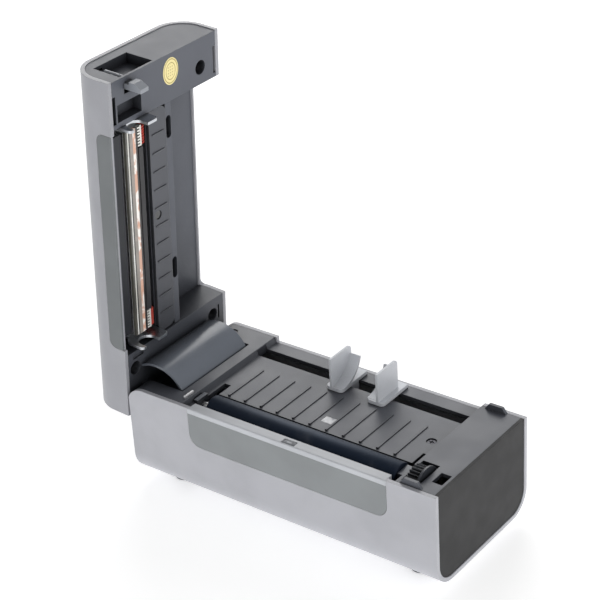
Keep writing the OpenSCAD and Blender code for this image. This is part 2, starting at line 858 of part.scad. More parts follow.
module deck() color("#6d7178") in_case() difference() {
  union() {
    along_y(inner_y0, inner_y1 - inner_y0) deck_section();
    difference() {
      box([seat_left_x, roller_y - trough_w / 2, roller_z - trough_w / 2],
        [seat_right_x1 - seat_left_x, trough_w, bay_under - roller_z + trough_w / 2 + over]);
      rod_x(hook_left_x0, seat_right_x - hook_left_x0, roller_y, roller_z, trough_r);
    }
    for (i = [0:rib_count - 1]) translate([rib_x + i * rib_pitch, rib_y, bay_z - over]) {
      cube([rib_w, rib_l, rib_h + over]);
      translate([-rib_w / 2, 0, 0]) cube([2 * rib_w, nub_l, 2 * rib_h + over]);
    }
    for (p = post_spots) rod_z(post_low, deck_under - post_low + over, p[0], p[1], post_r);
    rod_z(plate_top, bay_under - plate_top + over, tab_screw_x, tab_screw_y, post_r);
    rod_z(arm_z - fit, bay_under - arm_z + fit + over, guide_mid, pinion_y, pinion_boss_r);
    for (x = [-1, 1]) rod_z(sensor_board_z + sensor_board_t, bay_under - sensor_board_z,
      window_x + window_l / 2 + x * sensor_board_l * sensor_post_share, window_y + window_w / 2,
        board_post_r);
    locating_tab(tab_front_y);
    locating_tab(tab_back_y);
  }
  lid_sweep();
  cable_gate(gate_z);
  box([hook_left_x0, roller_y - roller_gate_w / 2, roller_z],
    [seat_right_x - hook_left_x0, roller_gate_w, base_h]);
  for (x = [[hook_left_x0, hook_left_x1], [hook_right_x0, hook_right_x1]])
    box([x[0], hook_gate_y, hook_gate_z], [x[1] - x[0], hook_gate_w, base_h]);
  along_x(seat_left_x - over, seat_w + 2 * over) bearing_outline(bearing_r + run, base_h + over);
  along_x(seat_right_x - over, seat_w + 2 * over) bearing_outline(bearing_r + run, base_h + over);
  box([shaft_x0 - gap, roller_y - shaft_gate_w / 2, roller_z - shaft_gate_w / 2],
    [seat_left_x - shaft_x0 + gap + over, shaft_gate_w, base_h]);
  box([spring_strip_x - fit, spring_strip_y - fit, roller_z - over],
    [spring_strip_t + 2 * fit, spring_strip_w + 2 * fit, base_h]);
  box([seat_right_x1, roller_y - gear_gate_w / 2, 0], [gear_gate_x1 - seat_right_x1, gear_gate_w,
    2 * base_h]);
  box([latch_hole_x, latch_y - latch_side, 0], [latch_hole_x1 - latch_hole_x, latch_w + latch_side + latch_back,
    2 * base_h]);
  box([bay_x - over, slot_y, bay_under - over], [bay_l + over, slot_w, base_h]);
  box([window_x - fit, window_y - fit, bay_z - window_t], [window_l + 2 * fit, window_w + 2 * fit, base_h]);
  box([window_x + window_rim, window_y + window_rim, bay_under - over],
    [window_l - 2 * window_rim, window_w - 2 * window_rim, base_h]);
  for (p = post_spots) rod_z(0, post_low - screw_head_sunk - wall + screw_l + gap, p[0], p[1], post_hole_r);
  rod_z(0, 2 * base_h, top_screw_x, post_back_y, post_hole_r);
  rod_z(base_h - screw_head_sunk, base_h, top_screw_x, post_back_y, head_hole_r);
  rod_z(0, 2 * base_h, tab_screw_x, tab_screw_y, post_hole_r);
  rod_z(bay_z - screw_head_sunk, base_h, tab_screw_x, tab_screw_y, head_hole_r);
  rod_z(0, bay_z - rib_h, guide_mid, pinion_y, pinion_screw_r);
}

// Dark face that closes the base inside the rim
module end_panel() color("#454648") in_case() intersection() {
  base_body(wall + fit, 0);
  box([end_x, 0, 0], [end_t, case_d, base_h]);
}

module front_panel() color("#85898c") in_case() along_y(0, panel_t) translate([base_panel_x,
  base_h - base_panel_h])
  rounded([base_panel_l, base_panel_h - bay_drop], [base_panel_r, base_panel_r, 0, 0]);

// Light ledge over the front wall, with the lens let in
module tear_bar() color("#b7bcc2") in_case() difference() {
  union() {
    box([tear_x, panel_t - fit, bay_z], [tear_l, tear_d - panel_t + fit, bay_drop]);
    along_x(base_panel_x, base_panel_l) polygon([[0, bay_z], [0, base_h - lip_edge],
      [lip_edge, base_h], [panel_t, base_h], [panel_t, bay_z]]);
  }
  box([lens_x - fit, lens_y - fit, base_h - lens_t], [lens_l + 2 * fit, lens_w + 2 * fit, base_h]);
}

module tear_bar_lens() color("#5b6068") in_case() box([lens_x, lens_y, base_h - lens_t],
  [lens_l, lens_w, lens_t]);

module gap_sensor_window() color("#c9ccd0") in_case()
  box([window_x, window_y, bay_z - window_t], [window_l, window_w, window_t]);

module gap_sensor_board() color("#2f5d3a") in_case() {
  box([window_x + window_l / 2 - sensor_board_l / 2, window_y + window_w / 2 - sensor_board_w / 2,
    sensor_board_z],
    [sensor_board_l, sensor_board_w, sensor_board_t]);
  box([window_x + 2 * window_rim, window_y + 2 * window_rim, sensor_board_z],
    [window_l - 4 * window_rim, window_w - 4 * window_rim, bay_z - window_t - sensor_board_z - gap]);
}

module feet() color("#26262a") in_case()
  for (x = [foot_end, case_l - foot_end])
    for (y = [foot_side, case_d - foot_side]) rod_z(-foot_h, foot_h + foot_sunk, x, y, foot_r);

// Screw with its head's underside at z, pointing down or up
module screw_down(x, y, z, l) {
  rod_z(z, screw_head_t, x, y, screw_head_r);
  rod_z(z - l, l, x, y, screw_r);
}
module screw_up(x, y, z, l) {
  rod_z(z - screw_head_t, screw_head_t, x, y, screw_head_r);
  rod_z(z, l, x, y, screw_r);
}

module base_screws() color("silver") in_case()
  for (p = post_spots) screw_up(p[0], p[1], post_low - screw_head_sunk - wall, screw_l);

module deck_screws() color("silver") in_case() {
  screw_down(top_screw_x, post_back_y, base_h - screw_head_sunk, screw_l);
  screw_down(tab_screw_x, tab_screw_y, bay_z - screw_head_sunk,
    bay_z - screw_head_sunk - plate_top + 2 * plate_t);
}

module board_screws() color("silver") in_case()
  for (p = board_hole_spots) screw_down(p[0], p[1], board_z + board_t, screw_l / 2 + board_t);

module hinge_pins() color("silver") in_case() {
  rod_y(gate_y - ear_t, pin_l, hinge_x, hinge_z, pin_r);
  rod_y(gate_y1 + ear_t - pin_l, pin_l, hinge_x, hinge_z, pin_r);
}

module main_board() color("#2f6b45") in_case() {
  difference() {
    box([board_x, board_y, board_z], [board_l, board_w, board_t]);
    for (p = board_hole_spots) rod_z(0, base_h, p[0], p[1], post_hole_r);
  }
  for (x = chip_spots) box([x, board_y + chip_l, board_z + board_t], [chip_l, chip_l, chip_t]);
  for (x = cap_spots) rod_z(board_z + board_t, cap_h, x, board_y + cap_pitch / 2, cap_r);
  box([board_x + 2 * plug_l, board_y + plug_w / 2, board_z + board_t], [plug_l, plug_w, plug_h]);
}

// Inlet with its round mouth and centre pin
module dc_inlet() color("#2b2b2e") in_case() {
  difference() {
    box([dc_x, case_d - wall / 2 - dc_l, board_z + board_t], [dc_w, dc_l, dc_h]);
    rod_y(case_d - wall / 2 - dc_l * mouth_share, dc_l, dc_x + dc_w / 2, board_z + board_t + dc_h / 2,
      dc_r);
  }
  rod_y(case_d - wall / 2 - dc_l * mouth_share - fit, dc_l * tongue_share, dc_x + dc_w / 2,
    board_z + board_t + dc_h / 2, dc_pin_r);
}

// Square data socket with its tongue
module usb_socket() color("#c4c6c8") in_case() {
  difference() {
    box([usb_x, case_d - wall / 2 - usb_l, board_z + board_t], [usb_w, usb_l, usb_h]);
    box([usb_x + usb_wall, case_d - wall / 2 - usb_l * mouth_share, board_z + board_t + usb_wall],
      [usb_w - 2 * usb_wall, usb_l, usb_h - 2 * usb_wall]);
  }
  box([usb_x + usb_w / 2 - usb_tongue, case_d - wall / 2 - usb_l * mouth_share - fit,
    board_z + board_t + usb_h / 2 - usb_tongue / 2], [2 * usb_tongue, usb_l * tongue_share, usb_tongue]);
}

// Switch housing, open at the back, with holes for the rocker's pin
module switch_body() color("#1f1f22") in_case() difference() {
  union() {
    box([switch_x, case_d - switch_l, switch_z], [switch_w, switch_l, switch_h]);
    box([switch_x - switch_rim, case_d, switch_z - switch_rim],
      [switch_w + 2 * switch_rim, switch_rim, switch_h + 2 * switch_rim]);
  }
  box([switch_x + switch_wall, case_d - switch_l + switch_wall, switch_z + switch_wall],
    [switch_w - 2 * switch_wall, switch_l + over, switch_h - 2 * switch_wall]);
  rod_z(switch_z - over, switch_h + 2 * over, switch_x + switch_w / 2, case_d - rocker_in,
    rocker_pin_r + run);
}

// Rocker with two flat faces, on its pin
module power_rocker() color("#2c2c30") in_case() {
  x = switch_x + switch_w / 2;
  y = case_d - rocker_in;
  along_z(switch_z + switch_wall + gap, switch_h - 2 * switch_wall - 2 * gap) translate([x, y]) polygon([
    [-rocker_r, rocker_low], [0, rocker_dip], [rocker_r, rocker_high],
      [rocker_r - rocker_dip, -rocker_skirt],
    [2 * rocker_pin_r, -rocker_in], [-2 * rocker_pin_r, -rocker_in], [rocker_dip - rocker_r, -rocker_skirt]
  ]);
  rod_z(switch_z + switch_wall / 3, switch_h - 2 * switch_wall / 3, x, y, rocker_pin_r);
}

// Motor body with bevelled long edges and a blind hole for the shaft's end
module stepper_motor() color("#8d8f92") in_case() difference() {
  along_x(plate_x - motor_l, motor_l) translate([motor_y - motor_side / 2, motor_z - motor_side / 2])
    polygon([
      [motor_edge_r, 0], [motor_side - motor_edge_r, 0], [motor_side, motor_edge_r],
      [motor_side, motor_side - motor_edge_r], [motor_side - motor_edge_r, motor_side],
      [motor_edge_r, motor_side], [0, motor_side - motor_edge_r], [0, motor_edge_r]
    ]);
  rod_x(plate_x - motor_in, motor_in + over, motor_y, motor_z, motor_shaft_r + run);
}

// Steel plate that stands on the floor beside the motor, with a bent tab under the deck
module gear_plate() color("#a9abad") in_case() difference() {
  union() {
    along_x(plate_x, plate_t) translate([plate_y, wall])
      rounded([plate_l, plate_top - wall], [0, 0, plate_r, plate_r]);
    box([plate_x - plate_tab_l, plate_tab_y, plate_top - plate_t],
      [plate_tab_l + over, plate_tab_w, plate_t]);
  }
  rod_x(plate_x - over, plate_t + 2 * over, motor_y, motor_z, motor_hole_r);
  rod_x(plate_x - over, plate_t + 2 * over, idler_y, idler_z, idler_pin_r + run);
  rod_z(0, base_h, tab_screw_x, tab_screw_y, post_hole_r);
}

// Shouldered pin with its head on the gear's outer side
module idler_pin() color("silver") in_case() {
  rod_x(plate_x, gear_x1 + 2 * gear_side_gap - plate_x, idler_y, idler_z, idler_pin_r);
  rod_x(plate_x + plate_t, gear_x - plate_x - plate_t, idler_y, idler_z, idler_collar_r);
  rod_x(gear_x1, pin_head_t, idler_y, idler_z, idler_collar_r);
}

module platen_bearings() color("#b4b8bd") in_case() difference() {
  union() {
    along_x(bearing_left_x, bearing_left_l) bearing_outline(bearing_r, roller_z + bearing_rise);
    along_x(bearing_right_x, bearing_right_l) bearing_outline(bearing_r, roller_z + bearing_rise);
  }
  rod_x(0, case_l, roller_y, roller_z, shaft_r + run);
}

// Strip that stands through the deck and reaches to the shaft's end
module earth_spring() color("#d8dadc") in_case() {
  box([spring_strip_x, spring_strip_y, roller_z - spring_strip_t / 2],
    [spring_strip_t, spring_strip_w, base_h + spring_strip_top - roller_z + spring_strip_t / 2]);
  box([spring_strip_x, spring_strip_y + spring_strip_w - spring_foot_w, roller_z - spring_strip_t / 2],
    [shaft_x0 - spring_strip_x - fit, spring_foot_w, spring_strip_t]);
}

module platen_shaft() color("#c8cacc") in_case() rod_x(shaft_x0, flange_x1 - shaft_x0, roller_y,
  roller_z, shaft_r);

module platen_rubber() color("#23272e") in_case() difference() {
  rod_x(rubber_x, rubber_l, roller_y, roller_z, rubber_r);
  rod_x(rubber_x - over, rubber_l + 2 * over, roller_y, roller_z, shaft_r);
}

// Gear about an X axis with a round bore
module spur_gear(teeth, turn, y, z, bore) difference() {
  along_x(gear_x, gear_w) translate([y, z]) gear_outline(teeth, turn);
  rod_x(gear_x - over, gear_w + 2 * over, y, z, bore);
}

module platen_gear() color("#3d4046") in_case() {
  spur_gear(platen_teeth, platen_turn, roller_y, roller_z, shaft_r);
  difference() {
    rod_x(gear_x1, flange_t, roller_y, roller_z, flange_r);
    rod_x(gear_x1 - over, flange_t + 2 * over, roller_y, roller_z, shaft_r);
  }
}

module idler_gear() color("#e4e2dc") in_case()
  spur_gear(idler_teeth, idler_turn, idler_y, idler_z, idler_pin_r + run);

module motor_shaft() color("#c8cacc") in_case()
  rod_x(plate_x - motor_in + gap, gear_x1 + gear_side_gap - plate_x + motor_in - gap, motor_y, motor_z,
    motor_shaft_r);

module motor_pinion() color("#c2a25a") in_case()
  spur_gear(motor_teeth, motor_turn, motor_y, motor_z, motor_shaft_r);

// Foot plate, wall and curved hold-down fin of a guide, for the side towards +X
module guide_top() {
  wall_x = guide_mid + guide_half - guide_t / 2;
  along_z(guide_z, foot_plate_t) translate([wall_x - foot_plate_in, guide_y])
    rounded([foot_plate_in + guide_t + foot_plate_out, guide_foot_l], [foot_plate_r, foot_plate_r, 0, 0]);
  along_x(wall_x, guide_t) translate([guide_y, guide_z])
    rounded([guide_wall_l, bay_z + guide_h - guide_z], [0, 0, foot_plate_r, 0]);
  along_x(wall_x - fin_w, fin_w + guide_t / 2) translate([guide_y + fin_front,
    guide_z + foot_plate_t / 2 + fin_r])
    ring_part(fin_r, fin_t, -90, fin_turn - 90);
}

// Left guide: its rack runs behind the pinion
module guide_left() color("#bfc4c9") in_case() {
  stem_x = guide_mid - guide_half + stem_in;
  translate([2 * guide_mid, 0, 0]) mirror([1, 0, 0]) guide_top();
  box([stem_x, stem_y, rack_z], [stem_w, stem_l, guide_z + foot_plate_t / 2 - rack_z]);
  box([stem_x, pinion_y + guide_pitch_r + root_share * gear_m, rack_z], [rack_l, rack_back, rack_t]);
  along_z(rack_z, rack_t) translate([0, pinion_y + guide_pitch_r]) rack_teeth(stem_x, stem_x + rack_l);
}

// Right guide: its arm crosses over the left rack, and its own rack runs in front of the pinion
module guide_right() color("#bfc4c9") in_case() {
  stem_x1 = guide_mid + guide_half - stem_in;
  rack_y = pinion_y - guide_pitch_r - root_share * gear_m - rack_back;
  guide_top();
  box([stem_x1 - stem_w, stem_y, arm_z], [stem_w, stem_l, guide_z + foot_plate_t / 2 - arm_z]);
  box([stem_x1 - stem_w, rack_y, arm_z], [stem_w, stem_y + stem_l - rack_y, arm_top - arm_z]);
  box([stem_x1 - stem_w, rack_y, rack_z], [stem_w, rack_back, arm_top - rack_z]);
  box([stem_x1 - rack_l, rack_y, rack_z], [rack_l, rack_back, rack_t]);
  along_z(rack_z, rack_t) translate([0, pinion_y - guide_pitch_r]) mirror([0, 1])
    rack_teeth(stem_x1 - rack_l, stem_x1);
}

module guide_pinion() color("#d9d6cc") in_case() difference() {
  along_z(rack_z, rack_t) translate([guide_mid, pinion_y]) gear_outline(guide_teeth, 90);
  rod_z(0, base_h, guide_mid, pinion_y, pinion_screw_r + run);
}

module guide_pinion_screw() color("silver") in_case() {
  rod_z(rack_z - gap, bay_z - rib_h - rack_z - gap, guide_mid, pinion_y, pinion_screw_r - run);
  rod_z(rack_z - gap - pinion_head_t, pinion_head_t, guide_mid, pinion_y, pinion_screw_head_r);
}

// Body of the lid shell, drawn in by a wall and lowered below the seam
module lid_body(inset, drop) intersection() {
  along_x(inset, case_l - inset + drop) translate([inset, lid_z - drop])
    rounded([case_d - 2 * inset, lid_top - lid_z - inset + drop],
      [0, 0, lid_edge_r - inset, lid_edge_r - inset]);
  along_y(0, case_d) translate([inset, lid_z - drop])
    rounded([case_l - inset + drop, lid_top - lid_z - inset + drop], [0, 0, 0, lid_end_r - inset]);
}

module lid_shell() color("#b9babd") on_lid() difference() {
  union() {
    difference() {
      lid_body(0, 0);
      lid_body(wall, over);
    }
    intersection() {
      lid_body(wall / 2, 0);
      union() {
        for (p = socket_spots) rod_z(lid_z + socket_h, lid_h, p[0], p[1], post_r);
        for (y = [-1, 1]) rod_z(button_board_z + board_t, lid_h, button_x,
          button_y + y * (button_board_w / 2 - board_post_r), board_post_r);
      }
    }
  }
  panel_recess(base_panel_x, lid_z - over, base_panel_l, lid_panel_h + label_gap + over + fit,
    [0, 0, lid_panel_r, lid_panel_r]);
  box([base_panel_x, -over, lid_z - over], [base_panel_l, wall + 2 * over, label_gap + over]);
  along_y(case_d - wall - over, wall + 2 * over) translate([cell_x, lid_z - over])
    rounded([cell_x1 - cell_x, funnel_h + over], [0, 0, cut_r, cut_r]);
  for (p = socket_spots) rod_z(lid_z, socket_h + screw_l, p[0], p[1], post_hole_r);
  rod_z(lid_z, lid_h, button_x, button_y, button_r + gap);
  rod_z(lid_z, lid_h, light_x, button_y, light_r + fit);
}

module lid_panel() color("#85898c") on_lid() along_y(0, panel_t)
  translate([base_panel_x + fit, lid_z + label_gap])
    rounded([base_panel_l - 2 * fit, lid_panel_h], [0, 0, lid_panel_r, lid_panel_r]);

// Front-to-back section of the frame over the paper path: head pocket, shelf and paper funnel
module cell_section() {
  translate([inner_y0, pocket_z]) square([pocket_y1 + pocket_t - inner_y0, pocket_t]);
  translate([pocket_y1, shelf_z]) square([pocket_t, pocket_z - shelf_z + pocket_t]);
  translate([pocket_y1, shelf_z]) square([strip_y + over - pocket_y1, funnel_t]);
  polygon([
    [strip_y, ridge_z], [ridge_y, ridge_z], [funnel_y, funnel_z], [inner_y1, funnel_z],
    [inner_y1, funnel_z + funnel_t], [funnel_y - funnel_t / 2, funnel_z + funnel_t],
    [ridge_y - funnel_t / 2, ridge_z + 3 * funnel_t / 2], [strip_y, ridge_z + 3 * funnel_t / 2]
  ]);
}

// Flat parts of the frame beside the paper path, and the walls and roofs over it
module frame_plates() {
  box([inner_y0, inner_y0, lid_z], [cell_x - inner_y0, inner_y1 - inner_y0, frame_t]);
  box([cell_x1, inner_y0, lid_z], [end_x - cell_x1 + fit, inner_y1 - inner_y0, frame_t]);
  for (x = [cell_x - cell_wall, cell_x1])
    box([x, inner_y0, lid_z], [cell_wall, inner_y1 - inner_y0, pocket_h + pocket_t]);
  along_x(cell_x - cell_wall, cell_x1 - cell_x + 2 * cell_wall) cell_section();
  box([bar_x, inner_y0, bar_z], [bar_x1 - bar_x, bar_y1 - inner_y0, pocket_t]);
  box([bar_x, bar_y1 - pocket_t, bar_z], [bar_x1 - bar_x, pocket_t, pocket_z - bar_z + over]);
  box([end_x, 0, lid_z], [end_t, case_d, lid_h]);
}

// Blocks, bosses and screw sockets of the frame
module frame_fittings() {
  box([latch_hole_x + latch_travel, scoop_y, lid_z], [end_x - latch_hole_x - latch_travel + over,
    scoop_w + frame_t, thumb_z + scoop_h + recess_wall]);
  box([recess_x - recess_wall, recess_y - recess_wall, lid_z],
    [recess_x1 - recess_x + 2 * recess_wall, recess_w + 2 * recess_wall, recess_h + recess_wall]);
  box([cell_x1, latch_y + latch_w / 2 - spring_block_w / 2, lid_z + latch_spring_z - spring_block_w / 2],
    [spring_block_l + cell_wall, spring_block_w, spring_block_w]);
  for (x = coil_spots) rod_z(pocket_z, boss_h, x, coil_y, boss_r);
  for (x = head_pin_spots) rod_z(pocket_z, boss_h, x, head_pin_y, head_pin_boss_r);
  for (p = socket_spots) rod_z(lid_z, socket_h, p[0], p[1], socket_r);
}

module lid_frame() color("#6d7178") on_lid() difference() {
  union() {
    intersection() {
      lid_body(wall + fit, 0);
      union() {
        frame_plates();
        frame_fittings();
      }
    }
    for (y = [gate_y + gap, gate_y1 - gap - lug_w]) {
      rod_y(y, lug_w, hinge_x, hinge_z, lug_r);
      box([hinge_x - web_w / 2, y, hinge_z], [web_w, lug_w, lid_z + frame_t / 2 - hinge_z]);
    }
    along_y(gate_y + gap, gate_w - 2 * gap) translate([hinge_x, hinge_z]) {
      ring_part(barrel_r, barrel_t, barrel_from, barrel_to);
      translate([-barrel_neck, barrel_r - barrel_t]) square([barrel_neck,
        hinge_drop + over - barrel_r + barrel_t]);
    }
  }
  for (y = [gate_y, gate_y1 - lug_w - 2 * gap])
    rod_y(y - over, lug_w + 2 * gap + 2 * over, hinge_x, hinge_z, pin_r + run);
  box([latch_hole_x, latch_y - gap, lid_z - over],
    [latch_hole_x1 - latch_hole_x, latch_w + 2 * gap, thumb_z + scoop_h + recess_wall + over]);
  box([latch_hole_x, thumb_gate_y, lid_z + thumb_z],
    [case_l - latch_hole_x, scoop_y + fit - thumb_gate_y, scoop_h]);
  box([scoop_x, scoop_y, lid_z + thumb_z], [case_l - scoop_x, scoop_w, scoop_h]);
  box([recess_x, recess_y, lid_z - over], [recess_x1 - recess_x, recess_w, recess_h + over]);
  rod_x(cell_x1 + cell_wall + spring_block_l - latch_travel - 2 * gap - over, spring_block_l,
    latch_y + latch_w / 2, lid_z + latch_spring_z, latch_spring_r + gap);
  for (x = coil_spots) rod_z(pocket_z - over, boss_h - pocket_t + over, x, coil_y, coil_r + gap);
  for (x = head_pin_spots) rod_z(pocket_z - over, boss_h + 2 * over, x, head_pin_y, head_pin_r + run);
  for (p = socket_spots) {
    rod_z(lid_z - over, socket_h - socket_floor + over, p[0], p[1], socket_hole_r);
    rod_z(lid_z, lid_h, p[0], p[1], post_hole_r);
  }
  for (x = slot_spots) for (s = [0, slot_hole_l - 2 * slot_hole_r])
    rod_z(lid_z - over, funnel_h, x + slot_hole_r + s, slot_hole_y, slot_hole_r);
  for (x = slot_spots) box([x + slot_hole_r, slot_hole_y - slot_hole_r, lid_z - over],
    [slot_hole_l - 2 * slot_hole_r, 2 * slot_hole_r, funnel_h]);
  box([spring_strip_x - 2 * gap, spring_strip_y - 2 * gap, lid_z - over],
    [spring_strip_t + 4 * gap, spring_strip_w + 4 * gap, spring_strip_top + over]);
  box([hinge_slit_x, inner_y1 - 4 * hinge_slit_w, lid_z - over],
    [hinge_slit_l, hinge_slit_w, frame_t + 2 * over]);
  box([tab_x - slit_gap, inner_y0 - over, lid_z - over], [tab_long + 2 * slit_gap,
    tab_t + 2 * fit + over + fit,
    tab_h + over]);
  box([tab_x - slit_gap, tab_back_y - 2 * fit, lid_z - over], [tab_long + 2 * slit_gap,
    tab_t + over + 4 * fit,
    tab_h + over]);
}

// Panel that carries the paper past the sensor, with rounded rear corners and ribs
module paper_panel() color("#73777d") on_lid() difference() {
  union() {
    along_z(paper_z, shelf_z - paper_z) translate([paper_x, paper_y])
      rounded([paper_l, paper_w], [0, 0, paper_r, paper_r]);
    for (i = [0:rib_count - 1])
      box([rib_x + i * rib_pitch, paper_y + paper_w * (1 - paper_rib_share) / 2, paper_z - rib_h],
        [rib_w, paper_w * paper_rib_share, rib_h + over]);
  }
  rod_z(lid_z - over, lid_h, emitter_x, emitter_y, emitter_r + fit);
}

module sensor_emitter() color("#2a2c30") on_lid()
  rod_z(paper_z + rib_h, shelf_z - paper_z - rib_h, emitter_x, emitter_y, emitter_r);

// Curved cover that hides the cable between lid and base
module cable_cover() color("#5c626a") on_lid()
  along_y(cover_y, cover_w) translate([hinge_x, hinge_z]) difference() {
    ring_part(cover_r, cover_t, -cover_down, 45);
    translate([0, lid_z - hinge_z]) square([cover_r, cover_r]);
  }

// Plain oval seal, with no lettering
module seal_sticker() color("#efe3a0") on_lid() along_z(lid_z - sticker_t, sticker_t)
  translate([sticker_x, sticker_y]) polygon([for (i = [0:sticker_steps - 1])
    [sticker_l / 2 * cos(360 * i / sticker_steps), sticker_w / 2 * sin(360 * i / sticker_steps)]]);

module lid_screws() color("silver") on_lid()
  for (p = socket_spots) screw_up(p[0], p[1], lid_z + socket_h - socket_floor, screw_l);

module button_board() color("#2f5d3a") on_lid() {
  box([button_x - button_board_l * button_board_share, button_y - button_board_w / 2, button_board_z],
    [button_board_l, button_board_w, board_t]);
  contact_h = lid_top - wall - button_rim_t - 2 * gap - button_travel - button_board_z - board_t;
  box([button_x - button_r / 2, button_y - button_r / 2, button_board_z + board_t], [button_r, button_r, contact_h]);
}

module status_light() color("#9fd3a8") on_lid()
  rod_z(button_board_z + board_t, lid_top - button_board_z - board_t, light_x, button_y, light_r);

// Button with the rim that holds it behind the lid's top wall
module feed_button() color("#8b9096") on_lid() {
  rod_z(lid_top - wall - button_rim_t - gap, wall + button_rim_t + gap + button_proud, button_x,
    button_y, button_r);
  rod_z(lid_top - wall - button_rim_t - gap, button_rim_t, button_x, button_y, button_r + button_rim);
}

// Latch: arm with its hooked nose below, thumb bar on the end face
module latch() color("#9aa0a6") on_lid() {
  nose_top = deck_under - gap;
  along_y(latch_y, latch_w) translate([latch_x, 0]) polygon([
    [0, latch_low], [0, lid_z + latch_top], [latch_t, lid_z + latch_top], [latch_t, nose_top],
    [latch_t + latch_catch, nose_top], [latch_t + latch_catch, nose_top - latch_nose_h],
    [latch_tip_share * latch_t, latch_low]
  ]);
  box([latch_x + latch_t / 2, latch_y, lid_z + thumb_z + gap], [latch_t / 2 + thumb_reach, thumb_w,
    thumb_h]);
  rod_z(lid_z + thumb_z + gap, thumb_h, latch_x + latch_t + thumb_reach, latch_y + thumb_w / 2,
    thumb_w / 2);
}

module latch_spring() color("silver") on_lid() difference() {
  rod_x(latch_x - latch_spring_l, latch_spring_l, latch_y + latch_w / 2, lid_z + latch_spring_z,
    latch_spring_r);
  rod_x(latch_x - latch_spring_l - over, latch_spring_l + 2 * over, latch_y + latch_w / 2,
    lid_z + latch_spring_z, latch_spring_hole);
}

// Print head: substrate, driver cover, heat sink and bracket
module head_ceramic() color("#d9cfc4") on_lid() box([head_x, head_y, head_z],
  [head_l, ceramic_w, ceramic_t]);

module head_heat_sink() color("#a8aaac") on_lid() difference() {
  box([head_x, head_y, head_z + ceramic_t], [head_l, sink_w, sink_t]);
  for (y = [1, 3]) box([head_x - over, head_y + y * sink_groove, head_z + ceramic_t + sink_t / 2],
    [head_l + 2 * over, sink_groove / 2, sink_t]);
}

module head_cover() color("#3a3a3e") on_lid() box([head_x + cover_in, plug_y, head_z - cover_proud],
  [head_l - 2 * cover_in, cover_depth, ceramic_t + cover_proud]);

module head_connectors() color("#e6e1d2") on_lid() for (x = [head_x, head_x1 - cover_in + gap])
  box([x, plug_y, head_z], [cover_in - gap, cover_depth, ceramic_t]);

// Wires that leave the connectors and turn up into the lid
module head_wires() color("#c4453c") on_lid()
  for (x = [head_x, head_x1 - cover_in + gap]) for (i = [0:wire_count - 2]) {
    wire_x = x + wire_pitch * (i + 1) - wire_r;
    rod_y(plug_y + cover_depth, wire_out, wire_x, head_z + ceramic_t / 2, wire_r);
    rod_z(head_z + ceramic_t / 2, wire_h, wire_x, plug_y + cover_depth + wire_out, wire_r);
  }

module head_bracket() color("#4a4c50") on_lid() difference() {
  box([hook_left_x + hook_t, bracket_y, bracket_z], [hook_right_x - hook_left_x - hook_t, bracket_w,
    bracket_t]);
  for (x = head_pin_spots) rod_z(lid_z, lid_h, x, head_pin_y, head_pin_r + gap);
  for (x = [head_x, head_x1 - cover_in + gap]) box([x, plug_y + cover_depth + wire_out - 2 * wire_r, lid_z],
    [cover_in - gap, bracket_w, lid_h]);
}

// Side plate with a mouth that drops over the platen shaft
module hook_outline() difference() {
  union() {
    translate([hook_y, hook_tip_z]) rounded([hook_w, lid_z + hook_shoulder - hook_tip_z],
      [hook_tip_r, hook_tip_r, 0, hook_arm_y - hook_y]);
    translate([hook_arm_y, lid_z]) square([hook_y + hook_w - hook_arm_y, bracket_z + bracket_t - lid_z]);
  }
  translate([roller_y, hook_mouth_z]) circle(r = hook_mouth_r);
  translate([roller_y - hook_mouth_r, hook_tip_z - over])
    square([2 * hook_mouth_r, hook_mouth_z - hook_tip_z + over]);
}

module head_hooks() color("#b9bcc0") on_lid()
  for (x = [hook_left_x, hook_right_x]) along_x(x, hook_t) hook_outline();

module head_springs() color("silver") on_lid() for (x = coil_spots) difference() {
  rod_z(bracket_z + bracket_t, coil_l, x, coil_y, coil_r);
  rod_z(bracket_z + bracket_t - over, coil_l + 2 * over, x, coil_y, coil_hole);
}

module head_pins() color("silver") on_lid() for (x = head_pin_spots) {
  rod_z(bracket_z - gap, pocket_z + boss_h - bracket_z + gap, x, head_pin_y, head_pin_r);
  rod_z(bracket_z - gap - bracket_t, bracket_t, x, head_pin_y, head_pin_head_r);
}

base_shell();
deck();
end_panel();
front_panel();
tear_bar();
tear_bar_lens();
gap_sensor_window();
gap_sensor_board();
feet();
base_screws();
deck_screws();
board_screws();
hinge_pins();
main_board();
dc_inlet();
usb_socket();
switch_body();
power_rocker();
stepper_motor();
gear_plate();
idler_pin();
platen_bearings();
earth_spring();
platen_shaft();
platen_rubber();
platen_gear();
idler_gear();
motor_shaft();
motor_pinion();
guide_left();
guide_right();
guide_pinion();
guide_pinion_screw();
lid_shell();
lid_frame();
lid_panel();
paper_panel();
sensor_emitter();
cable_cover();
seal_sticker();
lid_screws();
button_board();
status_light();
feed_button();
latch();
latch_spring();
head_bracket();
head_heat_sink();
head_ceramic();
head_cover();
head_hooks();
head_connectors();
head_wires();
head_springs();
head_pins();
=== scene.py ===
"""Thermal label printer standing open: finishes, fine pieces, floor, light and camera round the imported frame.

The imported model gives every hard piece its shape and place. This script dresses each of them in a procedural
finish, stands finer pieces in for those whose form needs more than a plain solid (roller, screws, springs,
wires, connectors, feet, button, seal and lens), and sets the studio round them.
"""
import logging
import math
from collections.abc import Iterable
from dataclasses import dataclass
from enum import Enum
from functools import reduce
from typing import ClassVar

import bmesh
import bpy
import numpy as np
from mathutils import Matrix, Vector


